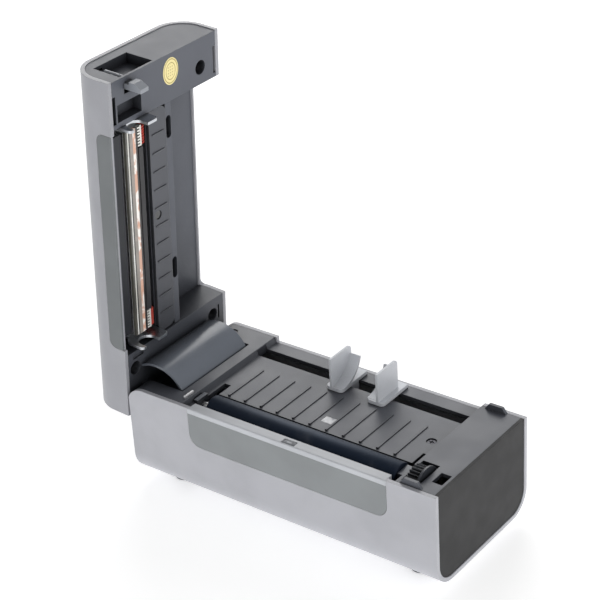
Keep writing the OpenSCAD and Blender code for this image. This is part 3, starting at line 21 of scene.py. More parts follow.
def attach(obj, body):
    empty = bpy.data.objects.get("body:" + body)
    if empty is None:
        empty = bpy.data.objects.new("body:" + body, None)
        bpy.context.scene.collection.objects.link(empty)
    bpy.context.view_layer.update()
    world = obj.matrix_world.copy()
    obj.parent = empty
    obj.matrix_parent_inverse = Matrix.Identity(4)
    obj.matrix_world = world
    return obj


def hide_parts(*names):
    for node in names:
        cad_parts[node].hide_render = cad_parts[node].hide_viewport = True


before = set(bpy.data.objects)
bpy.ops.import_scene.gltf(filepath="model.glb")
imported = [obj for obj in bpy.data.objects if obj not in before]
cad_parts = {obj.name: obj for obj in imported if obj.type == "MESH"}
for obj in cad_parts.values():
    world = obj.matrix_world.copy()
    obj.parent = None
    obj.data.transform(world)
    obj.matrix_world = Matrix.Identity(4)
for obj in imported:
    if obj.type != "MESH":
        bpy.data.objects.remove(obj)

LOG = logging.getLogger("printer")
Pair = tuple[float, float]
Triple = tuple[float, float, float]
Colour = Triple
Place = Triple
EVEN: Triple = (1, 1, 1)
MM = 0.001  # metres in a millimetre
WELD = 1e-7  # distance in metres within which two points are one
SHARP = math.radians(35)  # angle from which an edge stays sharp
ROUND_STEPS = 7  # points in a rounded corner
NOISE_ROUGHNESS = 0.55  # strength of each finer octave of noise
EDGE_SAMPLES = 4  # rays of a soft edge
SHADE_SAMPLES = 6  # rays of a shade
EDGE_LEAN = (0.01, 0.25)  # leans of the normal between which an edge begins and is full
ON_LID = ("lid", "print_head", "latch", "feed_button")  # bodies whose places are given with the lid closed


def srgb(red: int, green: int, blue: int) -> Colour:
    """Linear colour of an eight-bit screen colour, by the usual 2.4 power curve with its straight foot."""
    share = np.array([red, green, blue]) / 255
    return tuple(np.where(share <= 0.04045, share / 12.92, ((share + 0.055) / 1.055) ** 2.4).tolist())


# Shader maths

@dataclass(frozen=True)
class Cloud:
    """Noise turned into soft patches.

    Attributes:
        scale, detail: features per metre, and octaves of finer noise.
        low, high: noise at which a patch begins and at which it is full.
    """
    scale: float
    detail: float = 3.0
    low: float = 0.35
    high: float = 0.65


@dataclass(frozen=True)
class Shade:
    """Painted shade of holes and corners.

    Attributes:
        reach: how far off a wall still counts, in metres.
        low, high: openness at which the dark is full and at which it ends.
        share: strength of the painted shade.
    """
    reach: float
    low: float
    high: float
    share: float = 1.0


class Wire:
    """One shader socket that takes part in Python sums; each operator adds one Math node to its graph."""

    def __init__(self, graph: "Graph", socket: bpy.types.NodeSocket) -> None:
        """Wraps an output socket of a graph."""
        self.graph = graph
        self.socket = socket

    def _math(self, operation: str, *values: "Wire | float") -> "Wire":
        """Result of one Math node over the given values."""
        inputs = dict(enumerate(values))
        return self.graph.out("ShaderNodeMath", {"operation": operation}, inputs)

    def __add__(self, other: "Wire | float") -> "Wire":
        """Sum of two values."""
        return self._math("ADD", self, other)

    def __sub__(self, other: "Wire | float") -> "Wire":
        """Difference of two values."""
        return self._math("SUBTRACT", self, other)

    def __rsub__(self, other: float) -> "Wire":
        """Difference with this value taken away."""
        return self._math("SUBTRACT", other, self)

    def __mul__(self, other: "Wire | float") -> "Wire":
        """Product of two values."""
        return self._math("MULTIPLY", self, other)

    def __truediv__(self, other: "Wire | float") -> "Wire":
        """Quotient of two values."""
        return self._math("DIVIDE", self, other)

    def __pow__(self, other: float) -> "Wire":
        """Power of this value."""
        return self._math("POWER", self, other)

    def __gt__(self, other: "Wire | float") -> "Wire":
        """One where this value is the larger, and zero elsewhere."""
        return self._math("GREATER_THAN", self, other)

    def __lt__(self, other: "Wire | float") -> "Wire":
        """One where this value is the smaller, and zero elsewhere."""
        return self._math("LESS_THAN", self, other)

    def __abs__(self) -> "Wire":
        """Size of this value without its sign."""
        return self._math("ABSOLUTE", self)

    __radd__ = __add__
    __rmul__ = __mul__

    def larger(self, other: "Wire | float") -> "Wire":
        """Larger of two values."""
        return self._math("MAXIMUM", self, other)

    def saw(self, pitch: float) -> "Wire":
        """Place within each repeat of the given pitch, from zero to the pitch."""
        return self._math("FLOORED_MODULO", self, pitch)

    def band(self, low: float, high: float) -> "Wire":
        """One between two limits, and zero outside them."""
        return (self > low) * (self < high)

    def plateau(self, low: float, high: float, fade: float) -> "Wire":
        """One between two limits, with soft ends."""
        return self.span(low, low + fade) * self.span(high - fade, high, 1, 0)

    def span(self, low: float, high: float, start: float = 0.0, end: float = 1.0) -> "Wire":
        """Value mapped from one range to another, smoothly and held at both ends."""
        inputs = {"Value": self, "From Min": low, "From Max": high, "To Min": start, "To Max": end}
        return self.graph.out("ShaderNodeMapRange", {"interpolation_type": "SMOOTHSTEP"}, inputs)


class Graph:
    """Node tree of one material or sky, with the few ways in which its nodes are made."""

    def __init__(self, name: str, sky: bpy.types.World | None = None) -> None:
        """Starts an empty node tree.

        Args:
            name: the new material's name.
            sky: the sky to work on in place of a new material.
        """
        self.owner = sky or bpy.data.materials.new(name)
        self.owner.use_nodes = True
        self.tree = self.owner.node_tree
        self.tree.nodes.clear()

    def node(self, kind: str, settings: dict | None = None, inputs: dict | None = None) -> bpy.types.Node:
        """Adds a node: its settings first, then the values or links of its sockets.

        Args:
            kind: the node's type name.
            settings: attributes to set.
            inputs: socket name or number to a value or a Wire.

        Returns:
            The new node.
        """
        made = self.tree.nodes.new(kind)
        for key, value in (settings or {}).items():
            setattr(made, key, value)
        for key, value in (inputs or {}).items():
            socket = made.inputs[key]
            if isinstance(value, Wire):
                self.tree.links.new(value.socket, socket)
            else:
                socket.default_value = (*value, 1) if socket.type == "RGBA" else value
        return made

    def out(self, kind: str, settings: dict | None = None, inputs: dict | None = None,
            output: str | int = 0) -> Wire:
        """Adds a node as node() does and returns one of its outputs."""
        return Wire(self, self.node(kind, settings, inputs).outputs[output])

    def place(self, scale: Triple = EVEN) -> Wire:
        """Object coordinates, scaled."""
        here = self.out("ShaderNodeTexCoord", output="Object")
        return self.out("ShaderNodeMapping", None, {"Vector": here, "Scale": scale})

    def axes(self, kind: str = "Object") -> tuple[Wire, Wire, Wire]:
        """The three Object coordinates in metres, or a sky's direction."""
        split = self.node("ShaderNodeSeparateXYZ", None, {0: self.out("ShaderNodeTexCoord", output=kind)})
        return tuple(Wire(self, split.outputs[i]) for i in range(3))

    def noise(self, scale: float, detail: float = 2.0, stretch: Triple = EVEN) -> Wire:
        """Noise with features of about one over the scale, in metres."""
        return self.out("ShaderNodeTexNoise", None, {
            "Vector": self.place(stretch), "Scale": scale, "Detail": detail, "Roughness": NOISE_ROUGHNESS})

    def cloud(self, kind: Cloud, start: float = 0.0, end: float = 1.0, stretch: Triple = EVEN) -> Wire:
        """Patches of a cloud, each from a start value to an end value."""
        return self.noise(kind.scale, kind.detail, stretch).span(kind.low, kind.high, start, end)

    def mix(self, factor: Wire | float, first: Wire | Colour, second: Wire | Colour) -> Wire:
        """Colour between two others."""
        return self.out("ShaderNodeMix", {"data_type": "RGBA"}, {0: factor, 6: first, 7: second}, 2)

    def soft_edge(self, radius: float) -> Wire:
        """Normal that runs smoothly round every edge within the radius."""
        return self.out("ShaderNodeBevel", {"samples": EDGE_SAMPLES}, {"Radius": radius})

    def dark(self, kind: Shade) -> Wire:
        """Painted shade: none in the open, its full share where walls within reach shut a point in.

        Args:
            kind: the shade.

        Returns:
            The painted shade.
        """
        settings, inputs = {"samples": SHADE_SAMPLES}, {"Distance": kind.reach}
        light = self.out("ShaderNodeAmbientOcclusion", settings, inputs, "AO")
        return (1 - light.span(kind.low, kind.high)) * kind.share

    def edge_mask(self, rounded: Wire) -> Wire:
        """How far the rounded normal leans away from the flat face, from zero to one.

        Args:
            rounded: normal with soft edges.

        Returns:
            The mask of the edges.
        """
        flat = self.out("ShaderNodeNewGeometry", output="True Normal")
        lean = self.out("ShaderNodeVectorMath", {"operation": "DOT_PRODUCT"}, {0: rounded, 1: flat}, "Value")
        return (1 - abs(lean)).span(*EDGE_LEAN)

    def bump(self, height: Wire, distance: float, normal: Wire | None = None) -> Wire:
        """Normal of a relief of the given depth in metres, laid over another normal if there is one."""
        under = {} if normal is None else {"Normal": normal}
        return self.out("ShaderNodeBump", None, {"Height": height, "Distance": distance, **under})

    def surface(self, **sockets: "Wire | float | Colour") -> bpy.types.Material:
        """Ends the graph in one principled surface.

        Args:
            sockets: value or link of each socket; underscores in a name stand for spaces.

        Returns:
            The material.
        """
        inputs = {key.replace("_", " "): value for key, value in sockets.items()}
        shader = self.out("ShaderNodeBsdfPrincipled", None, inputs)
        self.node("ShaderNodeOutputMaterial", None, {"Surface": shader})
        return self.owner


# Finishes

@dataclass(frozen=True)
class Finish:
    """A surface's name, main colour and gloss.

    Attributes:
        name: the record's material slot that it stands for.
        colour: linear main colour.
        gloss: roughness of the surface.
        edge: radius of the soft edges in metres.
    """
    name: str
    colour: Colour
    gloss: float = 0.5
    edge: float = 0.00035

    def shade(self, share: float) -> Colour:
        """Main colour made lighter or darker by a factor."""
        return tuple(min(1.0, c * share) for c in self.colour)

    def paler(self) -> Colour:
        """Main colour halfway to white."""
        return tuple((c + 1) / 2 for c in self.colour)

    def between(self, g: Graph, factor: Wire, spread: Pair) -> Wire:
        """Colour between two shares of the main one."""
        return g.mix(factor, self.shade(spread[0]), self.shade(spread[1]))

    def relief(self, g: Graph, height: Wire, depth: float) -> Wire:
        """Normal of a relief that runs round soft edges."""
        return g.bump(height, depth, g.soft_edge(self.edge))

    def tint(self, g: Graph, colour: Wire) -> Wire:
        """The colour as it is; some finishes tint a part of it."""
        return colour

    def build(self) -> bpy.types.Material:
        """Makes the material; each kind of finish has its own."""
        raise NotImplementedError


@dataclass(frozen=True)
class MouldedPlastic(Finish):
    """Moulded plastic with spark-eroded grain, faint flow marks, edges made lighter partly by wear and partly
    by a painted highlight, and, where set, painted shade in holes and corners.

    Attributes:
        grain: depth of the grain in metres.
        flow: strength of the broad flow marks.
        edge_wear_and_highlight: how much lighter the edges are, partly by wear and partly by a painted
            highlight.
        coat: clear gloss over the colour.
        painted_shade: strength of the painted shade in holes, in corners and under the lid.
        shine: strength of the surface's reflections, a half for plain plastic.
        grains: specks of the grain; their strength and lightness are speck and speck_shade.
        flows: flow marks.
        rubs: patches along the edges where wear and the painted highlight show, smoother by polish.
        sheen: patches by which the roughness drifts, by the share drift.
        coat_gloss: roughness of the clear gloss.
        shades: painted shade of holes, of corners and of the space under the lid.
        painted_shade_lightness: lightness left where the painted shade is darkest.
    """
    grain: float = 0.000012
    flow: float = 0.05
    edge_wear_and_highlight: float = 0.12
    coat: float = 0.0
    painted_shade: float = 0.0
    shine: float = 0.5
    grains: Cloud = Cloud(2600.0, 2.0, 0.58, 0.75)
    speck: float = 0.35
    speck_shade: float = 1.12
    flows: Cloud = Cloud(28.0)
    rubs: Cloud = Cloud(160.0, 3.0, 0.3, 0.62)
    polish: float = 0.08
    sheen: Cloud = Cloud(60.0, 2.0, 0.3, 0.7)
    drift: float = 0.07
    coat_gloss: float = 0.25
    shades: tuple[Shade, ...] = (
        Shade(0.009, 0.25, 0.85), Shade(0.06, 0.2, 0.8, 0.85), Shade(0.14, 0.5, 0.8, 0.75))
    painted_shade_lightness: float = 0.06

    def build(self) -> bpy.types.Material:
        """Colour = main colour with flow marks, lightened on edges by wear and a painted highlight, darkened in
        holes and corners by painted shade; relief = fine noise.

        Returns:
            The material.
        """
        g = Graph(self.name)
        rounded = g.soft_edge(self.edge)
        fine = g.noise(self.grains.scale, self.grains.detail)
        edge_wear_and_highlight_mask = g.edge_mask(rounded) * g.cloud(self.rubs)
        body = self.between(g, g.cloud(self.flows), (1 - self.flow, 1 + self.flow))
        specks = fine.span(self.grains.low, self.grains.high, 0.0, self.speck)
        speck = g.mix(specks, body, self.shade(self.speck_shade))
        # Edges lighter toward white: partly wear, partly a painted highlight.
        colour = self.tint(g, g.mix(edge_wear_and_highlight_mask * self.edge_wear_and_highlight, speck, self.paler()))
        low, high = self.gloss * (1 - self.drift), self.gloss * (1 + self.drift)
        rough = g.cloud(self.sheen, low, high) - edge_wear_and_highlight_mask * self.polish
        # Painted shade: ambient occlusion darkens holes, corners and the space under the lid.
        if self.painted_shade:
            shut = g.dark(self.shades[0])
            for kind in self.shades[1:]:
                shut = shut.larger(g.dark(kind))
            colour = g.mix(shut * self.painted_shade, colour, self.shade(self.painted_shade_lightness))
        return g.surface(Base_Color=colour, Roughness=rough, Specular_IOR_Level=self.shine,
                         Coat_Weight=self.coat, Coat_Roughness=self.coat_gloss,
                         Normal=g.bump(fine, self.grain, rounded))


@dataclass(frozen=True)
class FrameWithPaintedShade(MouldedPlastic):
    """The lid's inner frame: moulded plastic with painted shade, near black, on its front bar in front of the
    print head, where the recess lies in shadow.

    Attributes:
        shade_band_y, shade_band_z: limits of the painted shade across the printer and along the open lid, in
            metres.
        fade: how softly its ends begin.
        cover, shade_band_lightness: strength and lightness of the painted shade.
    """
    shade_band_y: Pair = (-0.0405, -0.0325)
    shade_band_z: Pair = (0.0815, 0.2105)
    fade: float = 0.0006
    cover: float = 0.85
    shade_band_lightness: float = 0.1

    def tint(self, g: Graph, colour: Wire) -> Wire:
        """The colour turned near black between the limits: painted shade.

        Args:
            g: the material's graph.
            colour: the colour so far.

        Returns:
            The tinted colour.
        """
        _, y, z = g.axes()
        # Painted shade: mask of the recessed front bar, turned near black.
        bar = y.plateau(*self.shade_band_y, self.fade) * z.plateau(*self.shade_band_z, self.fade)
        return g.mix(bar * self.cover, colour, self.shade(self.shade_band_lightness))


@dataclass(frozen=True)
class Metal(Finish):
    """Metal with fine lines along one axis, or an even matt where the stretch is the same all ways.

    Attributes:
        stretch: how the lines are squeezed along X, Y and Z.
        lines: depth of the lines in metres.
        drawn: the lines' noise.
        patches: dull patches, of the strength stain and the lightness stain_shade.
        spread: darkest and lightest share of the lines' colour.
        dulled: roughness added by the patches, by the lines, and taken off all over.
        least: lowest roughness.
    """
    stretch: Triple = (1, 12, 12)
    lines: float = 0.000006
    drawn: Cloud = Cloud(420.0)
    patches: Cloud = Cloud(90.0, 4.0, 0.4, 0.7)
    stain: float = 0.12
    stain_shade: float = 0.6
    spread: Pair = (0.9, 1.08)
    dulled: Triple = (0.1, 0.08, 0.06)
    least: float = 0.05

    def build(self) -> bpy.types.Material:
        """Colour = metal with dull patches; relief = stretched noise round soft edges.

        Returns:
            The material.
        """
        g = Graph(self.name)
        drawn, patch = g.noise(self.drawn.scale, self.drawn.detail, self.stretch), g.cloud(self.patches)
        colour = g.mix(patch * self.stain, self.between(g, drawn, self.spread), self.shade(self.stain_shade))
        rough = patch * self.dulled[0] + drawn * self.dulled[1] + (self.gloss - self.dulled[2])
        return g.surface(Base_Color=colour, Metallic=1.0, Roughness=rough.larger(self.least),
                         Normal=self.relief(g, drawn, self.lines))


@dataclass(frozen=True)
class Rubber(Finish):
    """Ground rubber, with fine lines round the roller and a little paper dust.

    Attributes:
        lines: grinding lines per metre along X.
        squeeze: how the lines' noise is squeezed along X, Y and Z.
        depth: depth of the lines in metres.
        spread: darkest and lightest share of the lines' colour.
        dusty: patches of dust, of the strength dust, the colour powder and the added roughness matt.
        ground: roughness taken off where there is no dust.
        gleam: linear colour of its reflections.
    """
    lines: float = 2600.0
    squeeze: Triple = (1, 0.03, 0.03)
    depth: float = 0.000012
    spread: Pair = (0.85, 1.15)
    dusty: Cloud = Cloud(75.0, 5.0, 0.5, 0.8)
    dust: float = 0.05
    powder: Colour = (0.55, 0.56, 0.58)
    matt: float = 0.12
    ground: float = 0.02
    gleam: Colour = (0.5, 0.68, 1.0)

    def build(self) -> bpy.types.Material:
        """Relief = noise squeezed to rings along X; colour = black with patches of pale dust.

        Returns:
            The material.
        """
        g = Graph(self.name)
        rings, haze = g.noise(self.lines, stretch=self.squeeze), g.cloud(self.dusty)
        colour = g.mix(haze * self.dust, self.between(g, rings, self.spread), self.powder)
        return g.surface(Base_Color=colour, Roughness=haze * self.matt + (self.gloss - self.ground),
                         Specular_Tint=self.gleam, Normal=self.relief(g, rings, self.depth))


@dataclass(frozen=True)
class Glossy(Finish):
    """Clear-coated hard surface: a lens, a window or a light pipe.

    Attributes:
        inner: linear colour that shows in the depth.
        glow: strength of its own light.
        coat, coat_gloss: strength and roughness of the clear coat.
        clouds: where the inner colour shows, rougher by matt.
        dim: share of its light where the inner colour shows.
    """
    inner: Colour = (0.02, 0.02, 0.025)
    glow: float = 0.0
    coat: float = 0.8
    coat_gloss: float = 0.06
    clouds: Cloud = Cloud(320.0, 3.0, 0.35, 0.7)
    matt: float = 0.06
    dim: float = 0.7

    def build(self) -> bpy.types.Material:
        """Colour = main colour clouding into the inner one under a clear coat.

        Returns:
            The material.
        """
        g = Graph(self.name)
        cloud = g.cloud(self.clouds)
        return g.surface(Base_Color=self.tint(g, g.mix(cloud, self.colour, self.inner)),
                         Roughness=cloud * self.matt + self.gloss, Coat_Weight=self.coat,
                         Coat_Roughness=self.coat_gloss, Emission_Strength=self.glow,
                         Emission_Color=g.mix(cloud, self.colour, self.shade(self.dim)),
                         Normal=g.soft_edge(self.edge))


@dataclass(frozen=True)
class SpotLens(Glossy):
    """Smoked lens over a small lamp, whose pale spot shows in its middle.

    Attributes:
        middle, half: X and Y of the spot, and half its length and width, in metres.
        rim: squared distances between which the spot ends.
        spot: linear colour of the spot.
    """
    middle: Pair = (0.02327, -0.0417)
    half: Pair = (0.0017, 0.0006)
    rim: Pair = (0.6, 1.4)
    spot: Colour = srgb(170, 174, 178)

    def tint(self, g: Graph, colour: Wire) -> Wire:
        """The colour with a pale spot: its mask falls with the oval distance from the middle.

        Args:
            g: the material's graph.
            colour: the colour so far.

        Returns:
            The tinted colour.
        """
        x, y, _ = g.axes()
        far = ((x - self.middle[0]) / self.half[0]) ** 2.0 + ((y - self.middle[1]) / self.half[1]) ** 2.0
        return g.mix(far.span(*self.rim, 1, 0), colour, self.spot)


@dataclass(frozen=True)
class CircuitBoard(Finish):
    """Green lacquered board with copper tracks, and dark parts above its top face.

    Attributes:
        top: height in metres above which the parts begin.
        pitch, width: spacing of the tracks in metres, and the share of it that a track takes.
        bend: how far the tracks wander, in metres.
        turns: features per metre, and octaves, of the noise that turns them.
        track_shade: lightness of a track.
        part: linear colour of the parts, matter by part_matt.
        depth: height of a track in metres.
        coat: strength of the clear lacquer.
    """
    top: float = 1.0
    pitch: float = 0.0022
    width: float = 0.4
    bend: float = 0.004
    turns: Pair = (110.0, 1.0)
    track_shade: float = 1.9
    part: Colour = (0.02, 0.02, 0.022)
    part_matt: float = 0.25
    depth: float = 0.00003
    coat: float = 0.5

    def build(self) -> bpy.types.Material:
        """Tracks are bands of X and Y broken by noise; what lies above the top face is dark plastic.

        Returns:
            The material.
        """
        g = Graph(self.name)
        x, y, z = g.axes()
        turn = g.noise(*self.turns)
        wide = self.pitch * self.width
        along, across = ((axis + turn * self.bend).saw(self.pitch) < wide for axis in (x, y))
        tracks = (along * (turn > 0.5)).larger(across * (turn < 0.5))
        part = z > self.top
        colour = g.mix(part, g.mix(tracks, self.colour, self.shade(self.track_shade)), self.part)
        return g.surface(Base_Color=colour, Roughness=part * self.part_matt + self.gloss,
                         Coat_Weight=(1 - part) * self.coat, Normal=self.relief(g, tracks, self.depth))


@dataclass(frozen=True)
class GlazedBoard(Finish):
    """The head's glazed board: bands that run its whole length, at set places across it.

    Attributes:
        rim: place of the board's front edge along Y, in metres.
        bands: (width in metres, linear colour, linear colour of its patches, roughness) of each band,
            from the front edge on.
        patches: patches in the bands, drawn out along the board by stretch.
        uneven: noise features per metre, and roughness, of the glaze beside the bands.
        coat: strength and roughness of the glaze.
    """
    rim: float = 0.0
    bands: tuple[tuple[float, Colour, Colour, float], ...] = ()
    patches: Cloud = Cloud(210.0, 3.0, 0.44, 0.56)
    stretch: Triple = (1, 1, 0.6)
    uneven: Pair = (50.0, 0.05)
    coat: Pair = (0.5, 0.08)

    def build(self) -> bpy.types.Material:
        """Each band is one between two places of Y; patches of noise break its colour up.

        Returns:
            The material.
        """
        g = Graph(self.name)
        y = g.axes()[1]
        colour: Wire | Colour = self.colour
        rough = g.noise(self.uneven[0]) * self.uneven[1] + self.gloss
        low, patch = self.rim, g.cloud(self.patches, stretch=self.stretch)
        for width, tint, spot, gloss in self.bands:
            inside = y.band(low, low + width)
            colour = g.mix(inside, colour, g.mix(patch, tint, spot))
            rough = rough * (1 - inside) + inside * gloss
            low += width
        return g.surface(Base_Color=colour, Roughness=rough, Coat_Weight=self.coat[0],
                         Coat_Roughness=self.coat[1], Normal=g.soft_edge(self.edge))


@dataclass(frozen=True)
class PaperSeal(Finish):
    """Foil paper seal with two plain rings and an even field of fine dots, and no lettering.

    Attributes:
        middle: Y and Z of the seal's centre in metres, in the part's frame.
        radii: half its length and half its width in metres.
        ink: linear colour of the rings and dots, of the strength ink_share.
        rings: inner and outer edge of each ring, as shares of the radius.
        pitch: spacing of the dots in metres.
        field: share of the radius within which the dots lie, of the strength dot_share.
        paper: noise features per metre of the paper's colour, its roughness and its relief.
        octaves: octaves of finer noise in its colour and relief.
        spread: darkest and lightest share of the paper's colour.
        foil: how metallic the paper is.
        uneven, depth: roughness added by the noise, and depth of the relief in metres.
    """
    middle: Pair = (0.00385, 0.230025)
    radii: Pair = (0.0075, 0.006)
    ink: Colour = (0.35, 0.24, 0.05)
    ink_share: float = 0.8
    rings: tuple[Pair, ...] = ((0.84, 0.91), (0.58, 0.64))
    pitch: float = 0.0016
    field: float = 0.5
    dot_share: float = 0.6
    paper: Triple = (900.0, 300.0, 700.0)
    octaves: float = 3.0
    spread: Pair = (0.94, 1.05)
    foil: float = 0.15
    uneven: float = 0.1
    depth: float = 0.00001

    def build(self) -> bpy.types.Material:
        """Distance from the centre, as a share of the oval's radius, places both rings and ends the dots.

        Returns:
            The material.
        """
        g = Graph(self.name)
        _, y, z = g.axes()
        up, side = (z - self.middle[1]) / self.radii[0], (y - self.middle[0]) / self.radii[1]
        far = (up * up + side * side) ** 0.5
        outer, inner = (far.band(*ring) for ring in self.rings)
        rows, columns = (axis.saw(self.pitch) < self.pitch / 2 for axis in (y, z))
        dots = rows * columns * (far < self.field)
        paper = self.between(g, g.noise(self.paper[0], self.octaves), self.spread)
        mask = outer.larger(inner).larger(dots * self.dot_share)
        return g.surface(Base_Color=g.mix(mask * self.ink_share, paper, self.ink), Metallic=self.foil,
                         Roughness=g.noise(self.paper[1]) * self.uneven + self.gloss,
                         Normal=g.bump(g.noise(self.paper[2], self.octaves), self.depth))


@dataclass(frozen=True)
class Insulation(Finish):
    """Smooth soft insulation of thin wires, a little darker in places.

    Attributes:
        patches: noise features per metre of the colour and of the relief.
        spread: darkest and lightest share of the colour.
        uneven, depth: roughness added by the patches, and depth of the relief in metres.
    """
    patches: Pair = (240.0, 1500.0)
    spread: Pair = (0.7, 1.2)
    uneven: float = 0.1
    depth: float = 0.00001

    def build(self) -> bpy.types.Material:
        """Colour = main colour with soft patches; relief = fine noise.

        Returns:
            The material.
        """
        g = Graph(self.name)
        patch = g.noise(self.patches[0])
        return g.surface(Base_Color=self.between(g, patch, self.spread),
                         Roughness=patch * self.uneven + self.gloss,
                         Normal=g.bump(g.noise(self.patches[1]), self.depth))


@dataclass(frozen=True)
class Floor(Finish):
    """Pale seamless studio sheet, lit from below.

    Attributes:
        glow: strength of its own light.
        patches: noise features per metre.
        spread: darkest and lightest share of the colour.
    """
    glow: float = 0.55
    patches: float = 2.0
    spread: Pair = (0.99, 1.0)

    def build(self) -> bpy.types.Material:
        """Colour = main colour with hardly visible broad patches.

        Returns:
            The material.
        """
        g = Graph(self.name)
        return g.surface(Base_Color=self.between(g, g.noise(self.patches), self.spread), Roughness=self.gloss,
                         Emission_Color=self.colour, Emission_Strength=self.glow)


class Paint(Enum):
    """Every finish of the printer, under the record's slot name."""
    SILVER = MouldedPlastic("silver_shell", srgb(176, 177, 183), 0.4, grain=0.00001, coat=0.15, edge_wear_and_highlight=0.8)
    # Painted shade: the lid wears the base's silver shell painted darker, where less light falls on it.
    SHADED_LID = MouldedPlastic("silver_shell", srgb(158, 159, 165), 0.4, grain=0.00001, coat=0.15, edge_wear_and_highlight=0.8)
    DARK = MouldedPlastic("dark_frame", srgb(87, 90, 98), 0.42, flow=0.04, painted_shade=0.95, edge_wear_and_highlight=0.25)
    FRAME = FrameWithPaintedShade("dark_frame", srgb(92, 95, 103), 0.42, flow=0.04, painted_shade=0.95, edge_wear_and_highlight=0.3, shine=0.3)
    SHEET = MouldedPlastic("dark_frame", srgb(84, 86, 92), 0.42, flow=0.04, painted_shade=0.95, edge_wear_and_highlight=0.4, shine=0.35)
    END = MouldedPlastic("end_face", srgb(34, 34, 35), 0.6, flow=0.06)
    PANEL = MouldedPlastic("grey_panel", srgb(136, 140, 142), 0.5, grain=0.000016, edge_wear_and_highlight=0.35)
    INSERT = MouldedPlastic("grey_panel", srgb(112, 116, 118), 0.5, grain=0.000016, edge_wear_and_highlight=0.35)
    LIGHT = MouldedPlastic("light_grey", srgb(208, 211, 216), 0.38, edge_wear_and_highlight=0.3)
    BAR = MouldedPlastic("light_grey", srgb(192, 195, 200), 0.4, edge_wear_and_highlight=0.25)
    LATCH = MouldedPlastic("light_grey", srgb(146, 150, 157), 0.36, painted_shade=0.7, edge_wear_and_highlight=0.6)
    GUIDE = MouldedPlastic("light_grey", srgb(222, 225, 231), 0.38, edge_wear_and_highlight=0.7, painted_shade=0.4)
    BEARING = MouldedPlastic("light_grey", srgb(98, 103, 112), 0.36, painted_shade=0.8, edge_wear_and_highlight=0.7)
    COVER = MouldedPlastic("cover_grey", srgb(118, 124, 134), 0.24, grain=0.000006, painted_shade=0.8, coat=0.2)
    LENS = SpotLens("lens", srgb(112, 116, 122), 0.5, inner=srgb(98, 102, 108), coat=0.05)
    EMITTER = Glossy("lens", srgb(34, 36, 40), 0.2, inner=srgb(16, 17, 20))
    WINDOW = Glossy("window", srgb(166, 168, 174), 0.3, inner=srgb(128, 132, 138))
    BLACK = MouldedPlastic("black_plastic", srgb(38, 38, 41), 0.4)
    ROLLER = Rubber("black_rubber", srgb(8, 15, 28), 0.55)
    FOOT = Rubber("foot_rubber", srgb(34, 34, 37), 0.7, lines=900.0, dust=0.12)
    GEAR = MouldedPlastic("gear_dark", srgb(64, 67, 74), 0.36, edge=0.00015, painted_shade=0.9, edge_wear_and_highlight=0.8)
    ACETAL = MouldedPlastic("gear_white", srgb(225, 222, 214), 0.35, edge=0.0002)
    BRASS = Metal("brass", (0.76, 0.56, 0.26), 0.28, edge=0.0002)
    BRIGHT = Metal("bright_steel", (0.80, 0.81, 0.82), 0.2, edge=0.0002)
    EARTH = Metal("bright_steel", (0.96, 0.96, 0.97), 0.55, edge=0.0002)
    SCREW = Metal("screw_steel", (0.55, 0.56, 0.58), 0.33, edge=0.0001, stretch=(1, 1, 1))
    PLATE = Metal("plate_steel", (0.58, 0.59, 0.60), 0.42)
    HOOK = Metal("bright_steel", (0.6, 0.62, 0.65), 0.3, edge=0.0003)
    DARK_SCREW = Metal("screw_steel", (0.09, 0.09, 0.1), 0.45, edge=0.0001, stretch=(1, 1, 1))
    SPRING = Metal("spring_steel", (0.60, 0.60, 0.61), 0.3, edge=0.0001, stretch=(1, 1, 1))
    MOTOR = Metal("motor_steel", (0.22, 0.23, 0.24), 0.45, stretch=(40, 1, 1))
    ALUMINIUM = Metal("aluminium", (0.72, 0.73, 0.74), 0.36)
    GLAZE = GlazedBoard("ceramic", srgb(206, 196, 184), 0.22, rim=-0.03265, bands=(
        (0.0014, srgb(84, 82, 75), srgb(74, 73, 68), 0.3),
        (0.0008, srgb(250, 249, 245), srgb(226, 224, 216), 0.2),
        (0.0010, srgb(50, 50, 48), srgb(66, 65, 62), 0.3),
        (0.0024, srgb(158, 150, 142), srgb(146, 139, 132), 0.25),
        (0.0021, srgb(222, 172, 148), srgb(255, 250, 244), 0.2),
        (0.0015, srgb(30, 26, 28), srgb(44, 38, 39), 0.4)))
    IVORY = MouldedPlastic("connector", srgb(238, 236, 230), 0.45, edge=0.0001, painted_shade=0.8)
    WIRE = Insulation("wire", srgb(196, 66, 52), 0.45)
    BOARD = CircuitBoard("board_green", srgb(34, 84, 54), 0.3, top=0.01915)
    SMALL_BOARD = CircuitBoard("board_green", srgb(38, 92, 60), 0.32, pitch=0.0016)
    SOCKET = Metal("socket_metal", (0.66, 0.67, 0.68), 0.3)
    SEAL = PaperSeal("seal", srgb(246, 232, 168), 0.45)
    LIGHT_PIPE = Glossy("light", srgb(120, 190, 140), 0.2, inner=srgb(80, 150, 100), glow=0.15)


class Palette:
    """Makes each finish once and dresses pieces in it."""

    def __init__(self) -> None:
        """Starts with no material made."""
        self.made: dict[Finish, bpy.types.Material] = {}

    def material(self, finish: Finish) -> bpy.types.Material:
        """The material of a finish, made at its first use.

        Args:
            finish: the finish.

        Returns:
            Its material.
        """
        if finish not in self.made:
            self.made[finish] = finish.build()
        return self.made[finish]

    def dress_nodes(self, paint: Paint, *nodes: str) -> None:
        """Gives CAD nodes a finish.

        Args:
            paint: the finish.
            nodes: names of the CAD nodes.
        """
        for name in nodes:
            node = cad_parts[name]
            if not node.material_slots:
                node.data.materials.append(None)
            for slot in node.material_slots:
                slot.material = self.material(paint.value)
            LOG.info("node %s wears %s", name, paint.value.name)


# Surfaces

